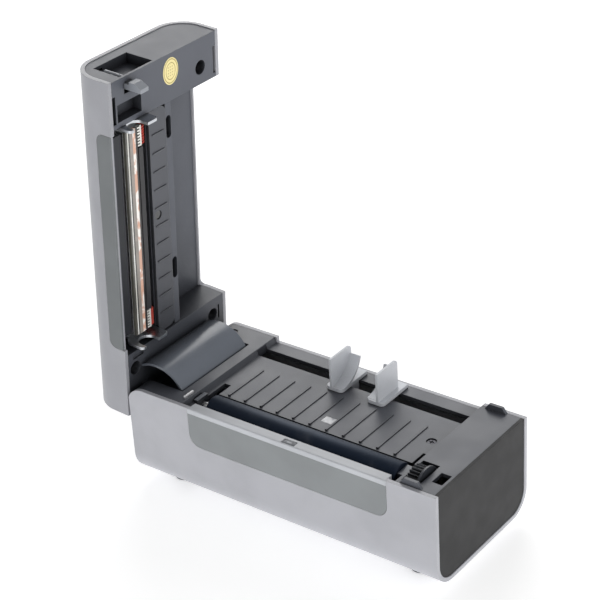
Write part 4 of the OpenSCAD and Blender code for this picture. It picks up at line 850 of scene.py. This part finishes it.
@dataclass
class Shape:
    """Points and faces of a surface, in the millimetres of the case's frame."""
    points: np.ndarray
    faces: list[list[int]]

    def __add__(self, other: "Shape") -> "Shape":
        """Both surfaces as one."""
        shifted = [[i + len(self.points) for i in face] for face in other.faces]
        return Shape(np.vstack([self.points, other.points]), self.faces + shifted)

    def moved(self, to: Place) -> "Shape":
        """The surface shifted by a vector."""
        return Shape(self.points + np.array(to), self.faces)

    def turned(self, order: tuple[int, int, int], signs: tuple[int, int, int] = (1, 1, 1)) -> "Shape":
        """The surface with its axes taken in another order, each with a sign."""
        return Shape(self.points[:, order] * np.array(signs), self.faces)


def joined(parts: Iterable[Shape]) -> Shape:
    """All the given surfaces as one."""
    return reduce(Shape.__add__, parts)


def around(steps: int) -> np.ndarray:
    """Even angles round a full turn, without the last one."""
    return np.linspace(0, 2 * math.pi, steps, endpoint=False)


def quads(rows: int, columns: int, ring: bool = True) -> list[list[int]]:
    """Faces of a grid.

    Args:
        rows: number of rows of points.
        columns: number of points in each row.
        ring: whether each row closes into a ring.

    Returns:
        One quad for each cell: point (i, j) has the number i * columns + j.
    """
    i, j = np.meshgrid(np.arange(rows - 1), np.arange(columns if ring else columns - 1), indexing="ij")
    k = (j + 1) % columns
    return np.stack([i * columns + j, i * columns + k, (i + 1) * columns + k, (i + 1) * columns + j],
                    -1).reshape(-1, 4).tolist()


def rounding(radius: float, height: float, size: float, under: bool = False) -> list[Pair]:
    """Rounded corner of a turned outline: the quarter circle (r - s + s sin t, h - s + s cos t).

    Args:
        radius: radius at the corner.
        height: height at the corner.
        size: radius of the quarter circle.
        under: whether it rounds a lower corner, where the height is h + s - s cos t.

    Returns:
        Radius and height of its points, from the flat face outwards.
    """
    turn = np.linspace(0, math.pi / 2, ROUND_STEPS)
    rise = -size if under else size
    return [*zip(radius - size + size * np.sin(turn), height - rise + rise * np.cos(turn))]


def lathe(profile: list[Pair], steps: int, dent: np.ndarray | float = 0.0) -> Shape:
    """Surface of revolution about Z: point (i, t) = (r_i cos t, r_i sin t, h_i - dent_it).

    Args:
        profile: radius and height along the outline; a radius of zero closes a pole.
        steps: points round the axis.
        dent: depth to take off each point, rows by steps.

    Returns:
        The closed surface.
    """
    outline, angle = np.array(profile, float), around(steps)
    radius, height = np.repeat(outline[:, :1], steps, 1), np.repeat(outline[:, 1:], steps, 1)
    points = np.stack([radius * np.cos(angle), radius * np.sin(angle), height - dent], -1).reshape(-1, 3)
    return Shape(points, quads(len(outline), steps))


def oval(middle: Pair, radii: Pair, top: np.ndarray, foot: float, steps: int, power: float = 2.0) -> Shape:
    """Oval sheet: point (i, t) = middle + share_i * radii * q_t * (cos t, sin t) at the height top_i.

    The shares run evenly from the middle to the rim. The factor q = (|cos t|^p + |sin t|^p)^(-1/p) makes
    the rim an ellipse for a power p of 2 and squarer for more.

    Args:
        middle: X and Y of the middle.
        radii: half its length and half its width.
        top: heights from the middle to the rim.
        foot: height of the flat face on its other side.
        steps: points round the rim.
        power: the power p.

    Returns:
        The closed sheet.
    """
    share, height = np.append(np.linspace(0, 1, len(top)), (1.0, 0.0)), np.append(top, (foot, foot))
    ring = np.stack([np.cos(around(steps)), np.sin(around(steps))], -1)
    ring *= (np.abs(ring) ** power).sum(-1, keepdims=True) ** (-1 / power)
    flat = np.array(middle) + share[:, None, None] * np.array(radii) * ring
    points = np.dstack([flat, np.repeat(height[:, None], steps, 1)])
    return Shape(points.reshape(-1, 3), quads(len(share), steps))


def tube(path: np.ndarray, radius: float, sides: int, lean: Place) -> Shape:
    """Round tube along a path: each ring lies across the path's direction, one of its axes square to lean.

    Args:
        path: points of the centre line, n by 3.
        radius: radius of the tube.
        sides: points in each ring.
        lean: a direction that the path never takes.

    Returns:
        The tube with flat ends.
    """
    along = np.gradient(path, axis=0)
    along /= np.linalg.norm(along, axis=1, keepdims=True)
    side = np.cross(along, np.array(lean, float))
    side /= np.linalg.norm(side, axis=1, keepdims=True)
    up = np.cross(side, along)
    angle = around(sides)
    ring = side[:, None] * np.cos(angle)[None, :, None] + up[:, None] * np.sin(angle)[None, :, None]
    points = (path[:, None] + radius * ring).reshape(-1, 3)
    last = (len(path) - 1) * sides
    caps = [list(range(sides))[::-1], list(range(last, last + sides))]
    return Shape(points, quads(len(path), sides) + caps)


def block(x: Pair, y: Pair, z: Pair) -> Shape:
    """Box between two limits along each axis: a rectangle of Y and Z carried along X."""
    points = [(end, y[i], z[j]) for end in x for i, j in ((0, 0), (1, 0), (1, 1), (0, 1))]
    return Shape(np.array(points), quads(2, 4) + [[3, 2, 1, 0], [4, 5, 6, 7]])


def smooth_line(corners: np.ndarray, steps: int) -> np.ndarray:
    """Smooth curve for given control points: the Bezier curve whose weights are the binomial terms.

    Args:
        corners: control points, n by 3.
        steps: number of points on the curve.

    Returns:
        The curve's points, steps by 3.
    """
    share = np.linspace(0, 1, steps)[:, None]
    degree = len(corners) - 1
    order = np.arange(degree + 1)
    weight = np.array([math.comb(degree, int(k)) for k in order])
    return (weight * share ** order * (1 - share) ** (degree - order)) @ corners


@dataclass(frozen=True)
class CaseFrame:
    """Turns places in millimetres from the case's corner into metres in the part's frame.

    Attributes:
        origin: the part's origin in the case's frame: middle of the open printer, under the feet.
        hinge_x, hinge_z: hinge axis from the hinge end and above the shell's underside.
        lid_open: angle of the open lid in degrees.
    """
    origin: Place = (85.4766, 44.15, -3.5)
    hinge_x: float = 9.9
    hinge_z: float = 46.4
    lid_open: float = 86.5

    def base(self, points: np.ndarray) -> np.ndarray:
        """Shift to the part's origin, in metres."""
        return (points - np.array(self.origin)) * MM

    def lid(self, points: np.ndarray) -> np.ndarray:
        """Closed-lid place swung open about the hinge, then shifted as base() does.

        Args:
            points: closed-lid places in millimetres, n by 3.

        Returns:
            The open lid's places in metres.
        """
        angle = math.radians(self.lid_open)
        dx, dz = points[:, 0] - self.hinge_x, points[:, 2] - self.hinge_z
        swung = np.column_stack([self.hinge_x + dx * math.cos(angle) - dz * math.sin(angle), points[:, 1],
                                 self.hinge_z + dx * math.sin(angle) + dz * math.cos(angle)])
        return self.base(swung)


def show(name: str, data: bpy.types.ID) -> bpy.types.Object:
    """Puts a mesh, light or camera into the scene as an object at the origin.

    Args:
        name: the object's name.
        data: the mesh, light or camera.

    Returns:
        The new object, at the origin.
    """
    made = bpy.data.objects.new(name, data)
    bpy.context.scene.collection.objects.link(made)
    return made


class Workshop:
    """Turns surfaces into dressed pieces that ride on their bodies."""

    def __init__(self, palette: Palette) -> None:
        """Takes the finishes to dress pieces in."""
        self.palette = palette
        self.case = CaseFrame()

    def piece(self, name: str, shape: Shape, paint: Paint, body: str, *nodes: str) -> None:
        """Makes one piece from a surface, at the origin with its place in its mesh.

        Args:
            name: the piece's name.
            shape: its surface in case millimetres, closed-lid places for the lid.
            paint: its finish.
            body: the CAD body that it rides on.
            nodes: CAD nodes that it stands for.
        """
        points = (self.case.lid if body in ON_LID else self.case.base)(shape.points)
        mesh = bpy.data.meshes.new(name)
        mesh.from_pydata(points.tolist(), [], shape.faces)
        work = bmesh.new()
        work.from_mesh(mesh)
        bmesh.ops.remove_doubles(work, verts=work.verts, dist=WELD)
        bmesh.ops.dissolve_degenerate(work, edges=work.edges, dist=WELD)
        bmesh.ops.recalc_face_normals(work, faces=work.faces)
        work.to_mesh(mesh)
        work.free()
        mesh.shade_smooth()
        mesh.set_sharp_from_angle(angle=SHARP)
        mesh.materials.append(self.palette.material(paint.value))
        made = show(name, mesh)
        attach(made, body)
        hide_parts(*nodes)
        LOG.info("piece %s: %d faces, rides on %s", name, len(mesh.polygons), body)


# Sub-assemblies

class Assembly:
    """A group of pieces: the finishes that its CAD nodes wear, and its finer pieces."""
    WEARS: ClassVar[dict[Paint, tuple[str, ...]]] = {}

    def pieces(self, shop: Workshop) -> None:
        """Makes the finer pieces; this plain kind has none."""

    def build(self, shop: Workshop) -> None:
        """Dresses the CAD nodes, then makes the finer pieces.

        Args:
            shop: the workshop that makes them.
        """
        for paint, nodes in self.WEARS.items():
            shop.palette.dress_nodes(paint, *nodes)
        self.pieces(shop)


@dataclass(frozen=True)
class ScrewSet:
    """Screws that stand for one CAD node.

    Attributes:
        name, node, body: the piece's name, its CAD node and the body that it rides on.
        places: X, Y and Z of each head's underside, and the length of its shank.
        paint: its finish.
        upward: whether the screws point up.
    """
    name: str
    node: str
    body: str
    places: tuple[tuple[float, float, float, float], ...]
    paint: Paint = Paint.SCREW
    upward: bool = False


@dataclass
class Fasteners(Assembly):
    """Cross-recess screws.

    Attributes:
        head_r, head_t: radius and height of a head.
        shank_r: radius of the threaded part.
        crown, grid: rise of the head's top, and the share of its radius that the top's grid covers.
        bevels: heights of the head's upper and lower bevelled edges.
        recess_l, recess_w, recess_depth: half length of the cross recess, half width of an arm, and depth.
        slopes: widths of an arm's sloping sides and of its sloping end.
        thread, pitch: depth and pitch of the thread.
        neck, tip: plain length under the head, and length of the tip.
        tip_share: the tip's radius as a share of the shank's.
        steps, rings: points round a screw, and rings in its head's top.
        waves: points along each turn of the thread.
        sets: the sets of screws.
    """
    head_r: float = 2.7
    head_t: float = 1.0
    shank_r: float = 1.5
    crown: float = 0.22
    grid: float = 0.94
    bevels: Pair = (0.18, 0.12)
    recess_l: float = 1.45
    recess_w: float = 0.34
    recess_depth: float = 0.75
    slopes: Pair = (0.08, 0.25)
    thread: float = 0.16
    pitch: float = 0.8
    neck: float = 0.2
    tip: float = 0.5
    tip_share: float = 0.55
    steps: int = 64
    rings: int = 22
    waves: int = 8
    sets: tuple[ScrewSet, ...] = (
        ScrewSet("screws_base", "base_screws", "base",
                 ((30.0, 7.65, 40.3, 10.0), (190.0, 77.3, 40.3, 10.0), (192.0, 30.0, 40.3, 10.0)),
                 upward=True),
        ScrewSet("screws_deck", "deck_screws", "base", ((12.6, 77.3, 55.6, 10.0), (167.7, 46.0, 52.4, 7.0)),
                 Paint.DARK_SCREW),
        ScrewSet("screws_board", "board_screws", "base",
                 tuple((x, y, 15.6, 6.6) for x in (34.0, 121.0) for y in (30.0, 78.0))),
        ScrewSet("screws_lid", "lid_screws", "lid",
                 ((28.3, 75.1, 64.0, 10.0), (27.8, 7.85, 64.0, 10.0), (183.1, 71.9, 64.0, 10.0)),
                 upward=True))

    def screw(self, length: float) -> Shape:
        """One screw, head underside at zero, pointing down.

        The top is a polar grid: height = crown * (1 - (r / head_r)^2), less the recess depth inside a cross.
        The shank's radius follows a wave along its length, as a thread does in profile.

        Args:
            length: length of the shank.

        Returns:
            The closed surface.
        """
        rim, edge = self.head_r, self.head_t - self.crown
        radius = np.linspace(0, rim * self.grid, self.rings)
        top = edge + self.crown * (1 - (radius / rim) ** 2)
        low = np.linspace(-self.neck, -length + self.tip, int(length / self.pitch * self.waves))
        wave = self.shank_r - self.thread * (0.5 + 0.5 * np.cos(2 * math.pi * low / self.pitch))
        upper, lower = self.bevels
        profile = [*zip(radius, top), (rim, edge - upper), (rim, lower), (rim - lower, 0.0),
                   (self.shank_r, 0.0), *zip(wave, low), (self.shank_r * self.tip_share, -length),
                   (0.0, -length)]
        angle = around(self.steps)
        x, y = np.abs(radius[:, None] * np.cos(angle)), np.abs(radius[:, None] * np.sin(angle))
        arm = (np.clip((self.recess_w - np.minimum(x, y)) / self.slopes[0], 0, 1)
               * np.clip((self.recess_l - np.maximum(x, y)) / self.slopes[1], 0, 1))
        dent = np.zeros((len(profile), self.steps))
        dent[:self.rings] = self.recess_depth * arm
        return lathe(profile, self.steps, dent)

    def pieces(self, shop: Workshop) -> None:
        """Makes each set of screws in the places of its CAD node.

        Args:
            shop: the workshop that makes them.
        """
        for kind in self.sets:
            signs = (1, -1, -1) if kind.upward else (1, 1, 1)
            whole = joined(self.screw(length).turned((0, 1, 2), signs).moved(at)
                           for *at, length in kind.places)
            shop.piece(kind.name, whole, kind.paint, kind.body, kind.node)


@dataclass
class BaseCase(Assembly):
    """Shell, deck, panels and feet of the base.

    Attributes:
        foot_r, foot_h: radius of a foot, and its height below the shell.
        foot_sunk, foot_round: how far it sits in the shell, and the rounding of its rim.
        foot_dish: points of the dish under it: radius as a share of the foot's, and depth.
        foot_steps: points round a foot.
        foot_x, foot_y: the feet's places along X and Y.
        lens_at, lens_half: X and Y of the lens's middle, and half its length and width.
        lens_z, lens_t: height of its hidden underside, and its thickness.
        lens_dome: how far its middle stands above its rim.
        lens_power: how square its oval and how flat its dome are.
        lens_grid: rings of its top, and points in each.
    """
    WEARS = {Paint.SILVER: ("base_shell",), Paint.DARK: ("deck",), Paint.END: ("end_panel",),
             Paint.PANEL: ("front_panel",), Paint.BAR: ("tear_bar",), Paint.WINDOW: ("gap_sensor_window",)}
    foot_r: float = 6.0
    foot_h: float = 3.5
    foot_sunk: float = 1.0
    foot_round: float = 0.9
    foot_dish: tuple[Pair, ...] = ((0.0, 0.5), (0.5, 0.45), (0.62, 0.0))
    foot_steps: int = 64
    foot_x: Pair = (21.0, 179.0)
    foot_y: Pair = (17.0, 70.3)
    lens_at: Pair = (108.75, 2.45)
    lens_half: Pair = (4.05, 1.75)
    lens_z: float = 56.0
    lens_t: float = 1.0
    lens_dome: float = 0.2
    lens_power: float = 4.0
    lens_grid: tuple[int, int] = (9, 48)

    def feet(self) -> Shape:
        """Four feet: a turned outline with a rounded rim and a shallow dish under each.

        Returns:
            The four feet as one surface.
        """
        dish = [(self.foot_r * share, deep - self.foot_h) for share, deep in self.foot_dish]
        rim = rounding(self.foot_r, -self.foot_h, self.foot_round, under=True)
        one = lathe([*dish, *rim, (self.foot_r, self.foot_sunk), (0.0, self.foot_sunk)], self.foot_steps)
        return joined(one.moved((x, y, 0.0)) for x in self.foot_x for y in self.foot_y)

    def lens(self) -> Shape:
        """Domed lens in the tear bar: height falls as 1 - r^4 from its middle to its rim.

        Returns:
            The closed surface.
        """
        rings, steps = self.lens_grid
        rise = self.lens_dome * (1 - np.linspace(0, 1, rings) ** self.lens_power)
        top = self.lens_z + self.lens_t - self.lens_dome + rise
        return oval(self.lens_at, self.lens_half, top, self.lens_z, steps, self.lens_power)

    def pieces(self, shop: Workshop) -> None:
        """Makes the feet and the lens."""
        shop.piece("feet_rubber", self.feet(), Paint.FOOT, "base", "feet")
        shop.piece("bar_lens", self.lens(), Paint.LENS, "base", "tear_bar_lens")


@dataclass
class Platen(Assembly):
    """Roller, its shaft, bearings, gear train and earth spring.

    Attributes:
        axis: Y and Z of the roller's axis.
        start, length, radius: X of the rubber's start, its length and its radius.
        shaft_r: radius of the shaft.
        break_edge: size of the rubber's broken edges.
        break_middle: how far their middle stands off the corner.
        steps: points round the rubber.
    """
    WEARS = {Paint.BRIGHT: ("platen_shaft", "motor_shaft", "idler_pin", "guide_pinion_screw"),
             Paint.EARTH: ("earth_spring",), Paint.BEARING: ("platen_bearings",),
             Paint.GEAR: ("platen_gear",), Paint.ACETAL: ("idler_gear",), Paint.BRASS: ("motor_pinion",),
             Paint.PLATE: ("gear_plate",), Paint.MOTOR: ("stepper_motor",)}
    axis: Pair = (15.0, 50.3)
    start: float = 48.0
    length: float = 122.0
    radius: float = 7.8
    shaft_r: float = 2.5
    break_edge: float = 0.5
    break_middle: float = 0.15
    steps: int = 128

    def rubber(self) -> Shape:
        """Turned sleeve with broken edges and a bore: half an outline and its mirror image.

        Returns:
            The closed surface.
        """
        r, edge, middle = self.radius, self.break_edge, self.break_middle
        half = [(self.shaft_r, 0.0), (r - edge, 0.0), (r - middle, middle), (r, edge)]
        mirror = [(radius, self.length - x) for radius, x in reversed(half)]
        profile = [*half, (r, self.length / 2), *mirror, half[0]]
        return lathe(profile, self.steps).turned((2, 0, 1)).moved((self.start, *self.axis))

    def pieces(self, shop: Workshop) -> None:
        """Makes the roller's rubber."""
        shop.piece("roller_rubber", self.rubber(), Paint.ROLLER, "platen", "platen_rubber")


class MediaGuides(Assembly):
    """Two paper guides, with their racks, and the pinion between them."""
    WEARS = {Paint.GUIDE: ("guide_left", "guide_right"), Paint.ACETAL: ("guide_pinion",)}


class Electronics(Assembly):
    """Boards, sockets and the power switch."""
    WEARS = {Paint.BOARD: ("main_board",), Paint.SMALL_BOARD: ("gap_sensor_board", "button_board"),
             Paint.BLACK: ("dc_inlet", "switch_body", "power_rocker"), Paint.SOCKET: ("usb_socket",)}


@dataclass
class Lid(Assembly):
    """Lid shell, frame, panels, latch, button and seal.

    Attributes:
        seal_at, seal_radii: X and Y of the seal's middle, lid closed, and half its length and width.
        seal_z, seal_t: height of its hidden face, and its thickness at the embossed ring.
        emboss, emboss_at: how far the ring stands out, and its edges as shares of the radius.
        seal_grid: rings of its face, and points in each.
        button_at, button_r: X and Y of the feed button, and its radius.
        button_top, button_low: heights of its top and of its rim's underside.
        dish_share: share of its radius that the dish takes.
        dish: how far the dish's middle lies under the top, and how far it rises outwards.
        shoulder, flange: rounding of its shoulder, and width and height of the rim inside the lid.
        button_grid: rings of the dish, and points in each.
    """
    WEARS = {Paint.SHADED_LID: ("lid_shell",), Paint.FRAME: ("lid_frame",), Paint.SHEET: ("paper_panel",),
             Paint.INSERT: ("lid_panel",), Paint.COVER: ("cable_cover",), Paint.LATCH: ("latch",),
             Paint.EMITTER: ("sensor_emitter",), Paint.LIGHT_PIPE: ("status_light",),
             Paint.BRIGHT: ("hinge_pins", "head_pins")}
    seal_at: Pair = (189.7, 48.0)
    seal_radii: Pair = (7.5, 6.0)
    seal_z: float = 57.3
    seal_t: float = 0.15
    emboss: float = 0.05
    emboss_at: Pair = (0.86, 0.95)
    seal_grid: tuple[int, int] = (24, 96)
    button_at: Pair = (180.0, 43.65)
    button_r: float = 6.5
    button_top: float = 85.9
    button_low: float = 81.2
    dish_share: float = 0.78
    dish: Pair = (0.35, 0.3)
    shoulder: float = 0.6
    flange: Pair = (1.3, 1.4)
    button_grid: tuple[int, int] = (12, 96)

    def seal(self) -> Shape:
        """Thin oval sheet with an embossed ring, where its face drops a little more.

        Returns:
            The closed surface.
        """
        rings, steps = self.seal_grid
        share = np.linspace(0, 1, rings)
        ring = (share > self.emboss_at[0]) & (share < self.emboss_at[1])
        face = self.seal_z - (self.seal_t - self.emboss) - np.where(ring, self.emboss, 0.0)
        return oval(self.seal_at, self.seal_radii, face, self.seal_z, steps)

    def button(self) -> Shape:
        """Turned button: a dish that rises with r^2, a rounded shoulder, a straight skirt and an inner rim.

        Returns:
            The closed surface.
        """
        rings, steps = self.button_grid
        share = np.linspace(0, 1, rings)
        rise = self.button_top - self.dish[0] + self.dish[1] * share ** 2
        dish = zip(self.button_r * self.dish_share * share, rise)
        wide, step = self.button_r + self.flange[0], self.button_low + self.flange[1]
        profile = [*dish, *rounding(self.button_r, self.button_top, self.shoulder), (self.button_r, step),
                   (wide, step), (wide, self.button_low), (0.0, self.button_low)]
        return lathe(profile, steps).moved((*self.button_at, 0.0))

    def pieces(self, shop: Workshop) -> None:
        """Makes the seal and the button."""
        shop.piece("seal_oval", self.seal(), Paint.SEAL, "lid", "seal_sticker")
        shop.piece("button_dished", self.button(), Paint.LIGHT, "feed_button", "feed_button")


@dataclass
class Springs(Assembly):
    """Coil springs of the head and the latch.

    Attributes:
        wire, turns: radius of the wire, and number of turns.
        closed: how far the end turns are closed up, from zero to one.
        grid: points along each turn, and round the wire.
        head_size, head_at: radius and length of the head's springs, and their places, lid closed.
        latch_size, latch_at: radius and length of the latch's spring, and its place.
    """
    wire: float = 0.4
    turns: float = 7.0
    closed: float = 0.6
    grid: tuple[int, int] = (24, 8)
    head_size: Pair = (3.8, 9.7)
    head_at: tuple[Place, ...] = ((75.0, 15.12, 67.5), (140.0, 15.12, 67.5))
    latch_size: Pair = (3.3, 11.4)
    latch_at: Place = (192.9, 15.0, 74.0)

    def coil(self, radius: float, length: float) -> Shape:
        """Helix about Z: (r cos t, r sin t, rise), with its end turns closed up by a smooth rise.

        Args:
            radius: outer radius of the spring.
            length: its length.

        Returns:
            The spring, from zero upwards.
        """
        share = np.linspace(0, 1, int(self.turns * self.grid[0]))
        rise = share - self.closed * np.sin(2 * math.pi * share) / (2 * math.pi)
        height = rise * (length - 2 * self.wire) + self.wire
        angle, r = 2 * math.pi * self.turns * share, radius - self.wire
        path = np.stack([r * np.cos(angle), r * np.sin(angle), height], -1)
        return tube(path, self.wire, self.grid[1], (0, 0, 1))

    def pieces(self, shop: Workshop) -> None:
        """Makes the head's two springs and the latch's one.

        Args:
            shop: the workshop that makes them.
        """
        head = joined(self.coil(*self.head_size).moved(place) for place in self.head_at)
        shop.piece("coils_head", head, Paint.SPRING, "print_head", "head_springs")
        latch = self.coil(*self.latch_size).turned((2, 0, 1), (-1, 1, 1)).moved(self.latch_at)
        shop.piece("coil_latch", latch, Paint.SPRING, "latch", "latch_spring")


@dataclass
class PrintHead(Assembly):
    """Heating board, its connectors, wires, heat sink and hooks.

    Attributes:
        start, end: X of the board's ends, lid closed.
        face: height of the board's working face.
        plug_y: Y of the connectors' front.
        plug_w, plug_l, plug_h: depth, length and height of a connector.
        tooth, slot: share of its depth that its teeth take, and width of the slots between them.
        bar_h: height of the bar that joins the teeth.
        lip: gap between the board and the lip that holds the wires.
        ways, pitch: wires in each connector, and their spacing.
        wire_r, wire_z: radius of a wire, and its height above the board's face.
        wire_run: control points of a wire: share of its sway, and lengths back and up from its slot.
        sway, sway_step: how far a wire swings aside, and how its sway's angle changes from wire to wire.
        wire_grid: points along a wire, and round it.
    """
    WEARS = {Paint.PLATE: ("head_bracket",), Paint.ALUMINIUM: ("head_heat_sink",),
             Paint.GLAZE: ("head_ceramic",), Paint.BLACK: ("head_cover",), Paint.HOOK: ("head_hooks",)}
    start: float = 46.0
    end: float = 168.0
    face: float = 58.3
    plug_y: float = 21.0
    plug_w: float = 3.2
    plug_l: float = 11.7
    plug_h: float = 1.7
    tooth: float = 0.62
    slot: float = 0.75
    bar_h: float = 0.5
    lip: float = 0.25
    ways: int = 7
    pitch: float = 1.5
    wire_r: float = 0.5
    wire_z: float = 0.85
    wire_run: tuple[Triple, ...] = (
        (0, -0.3, 0.0), (0, 2.2, -0.4), (1, 4.2, -0.2), (0, 3.6, 3.5), (-1, 3.4, 7.0), (0, 2.2, 12.0))
    sway: float = 0.25
    sway_step: float = 2.3
    wire_grid: tuple[int, int] = (24, 10)

    def connector(self, x: float) -> Shape:
        """Housing with a slot over each pin: a comb of teeth, and a bar and a lip across them.

        Args:
            x: start of the connector.

        Returns:
            The housing as one surface.
        """
        end, back, low = x + self.plug_l, self.plug_y + self.plug_w, self.face
        middle, high = self.plug_y + self.plug_w * self.tooth, self.face + self.plug_h - self.bar_h
        edges, half = np.linspace(x, end, self.ways + 1), self.slot / 2
        teeth = joined(block((left + half, right - half), (self.plug_y, middle), (low, high))
                       for left, right in zip(edges[:-1], edges[1:]))
        bar = block((x, end), (self.plug_y, back), (high, high + self.bar_h))
        return teeth + bar + block((x, end), (middle, back), (low + self.lip, high))

    def wires(self, x: float) -> Shape:
        """Wires from a connector: each leaves level and turns up into the lid on a smooth curve.

        Args:
            x: start of the connector.

        Returns:
            The wires as one surface.
        """
        steps, sides = self.wire_grid
        back, up = self.plug_y + self.plug_w, self.face + self.wire_z
        parts = []
        for k in range(self.ways):
            slot = np.array((x + self.pitch * (k + 1) - self.wire_r, back, up))
            sway = self.sway * math.sin(self.sway_step * k + x)
            corners = slot + np.array(self.wire_run) * (sway, 1, 1)
            parts.append(tube(smooth_line(corners, steps), self.wire_r, sides, (1, 0, 0)))
        return joined(parts)

    def pieces(self, shop: Workshop) -> None:
        """Makes the connectors and wires at both ends of the board.

        Args:
            shop: the workshop that makes them.
        """
        ends = (self.start, self.end - self.plug_l)
        for name, make, paint, node in (("connectors", self.connector, Paint.IVORY, "head_connectors"),
                                        ("wires", self.wires, Paint.WIRE, "head_wires")):
            shop.piece(name, joined(make(x) for x in ends), paint, "print_head", node)


# Studio

@dataclass(frozen=True)
class Lamp:
    """Soft round light.

    Attributes:
        name, power: its name, and its power in watts.
        at, size: its place and its width in metres.
        target: the place that it faces.
    """
    name: str
    at: Place
    size: float
    power: float
    target: Place


@dataclass
class Studio:
    """Floor, lights and camera.

    Attributes:
        camera_at: the camera's place in metres.
        camera_turn: its right, up and back directions, row by row of the turning matrix.
        lens, sensor: focal length and width of the sensor, in millimetres.
        clip: nearest and farthest distance seen, in metres.
        lamps: the soft lights.
        sky, horizon: strength of the even light all round, and low down behind the floor's far edge.
        haze: the sine of the heights between which one passes into the other.
        floor_half, floor_lines: half the floor's width in metres, and lines of points each way across it.
        sheet: the floor's finish.
    """
    camera_at: Place = (0.5335834, -0.67356, 0.59392)
    camera_turn: tuple[Triple, ...] = (
        (0.80272374, -0.25068094, 0.54110411), (0.59389205, 0.41835432, -0.68722041),
        (-0.05410018, 0.87300557, 0.48470036))
    lens: float = 112.747
    sensor: float = 36.0
    clip: Pair = (0.01, 200.0)
    lamps: tuple[Lamp, ...] = (
        Lamp("key", (-0.76, 1.03, 0.86), 1.1, 9.0, (0.02, 0.0, 0.06)),
        Lamp("front", (0.26, -0.9, 0.16), 0.45, 2.0, (0.02, 0.0, 0.03)),
        Lamp("side", (1.25, -0.1, 0.6), 0.8, 5.0, (0.0, 0.0, 0.08)))
    sky: float = 0.3
    horizon: float = 0.95
    haze: Pair = (0.08, 0.2)
    floor_half: float = 60.0
    floor_lines: int = 5
    sheet: Floor = Floor("floor", (0.94, 0.94, 0.94), 0.7)

    def camera(self) -> None:
        """Sets the camera at the photograph's viewing angle."""
        data = bpy.data.cameras.new("camera")
        data.sensor_width, data.lens = self.sensor, self.lens
        data.clip_start, data.clip_end = self.clip
        made = show("camera", data)
        made.matrix_world = Matrix.Translation(self.camera_at) @ Matrix(self.camera_turn).to_4x4()
        bpy.context.scene.camera = made

    def floor(self, palette: Palette) -> None:
        """Lays a wide pale sheet: an even grid at height zero.

        Args:
            palette: the finishes.
        """
        line = np.linspace(-self.floor_half, self.floor_half, self.floor_lines)
        y, x = np.meshgrid(line, line, indexing="ij")
        points = np.stack([x, y, np.zeros_like(x)], -1).reshape(-1, 3)
        mesh = bpy.data.meshes.new("floor")
        mesh.from_pydata(points.tolist(), [], quads(self.floor_lines, self.floor_lines, ring=False))
        mesh.materials.append(palette.material(self.sheet))
        show("floor", mesh)

    def lights(self) -> None:
        """Hangs the soft lights."""
        for lamp in self.lamps:
            data = bpy.data.lights.new(lamp.name, "AREA")
            data.shape, data.size, data.energy = "DISK", lamp.size, lamp.power
            turn = (Vector(lamp.at) - Vector(lamp.target)).to_track_quat("Z", "Y").to_matrix().to_4x4()
            show(lamp.name, data).matrix_world = Matrix.Translation(lamp.at) @ turn

    def backdrop(self) -> None:
        """Sets an even sky with a bright horizon."""
        world = bpy.data.worlds.new("sky")
        g = Graph("sky", world)
        strength = g.axes("Generated")[2].span(*self.haze, self.horizon, self.sky)
        back = g.out("ShaderNodeBackground", None, {"Color": (1.0, 1.0, 1.0), "Strength": strength})
        g.node("ShaderNodeOutputWorld", None, {"Surface": back})
        bpy.context.scene.world = world
        bpy.context.scene.view_settings.view_transform = "Standard"

    def build(self, palette: Palette) -> None:
        """Sets camera, floor, lights and sky.

        Args:
            palette: the finishes.
        """
        self.camera()
        self.floor(palette)
        self.lights()
        self.backdrop()


def main() -> None:
    """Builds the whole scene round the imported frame."""
    logging.basicConfig(level=logging.INFO, format="%(name)s %(message)s")
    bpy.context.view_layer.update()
    palette = Palette()
    Studio().build(palette)
    shop = Workshop(palette)
    for kind in (BaseCase, Fasteners, Platen, MediaGuides, Electronics, Lid, Springs, PrintHead):
        kind().build(shop)


if __name__ == "__main__":
    main()
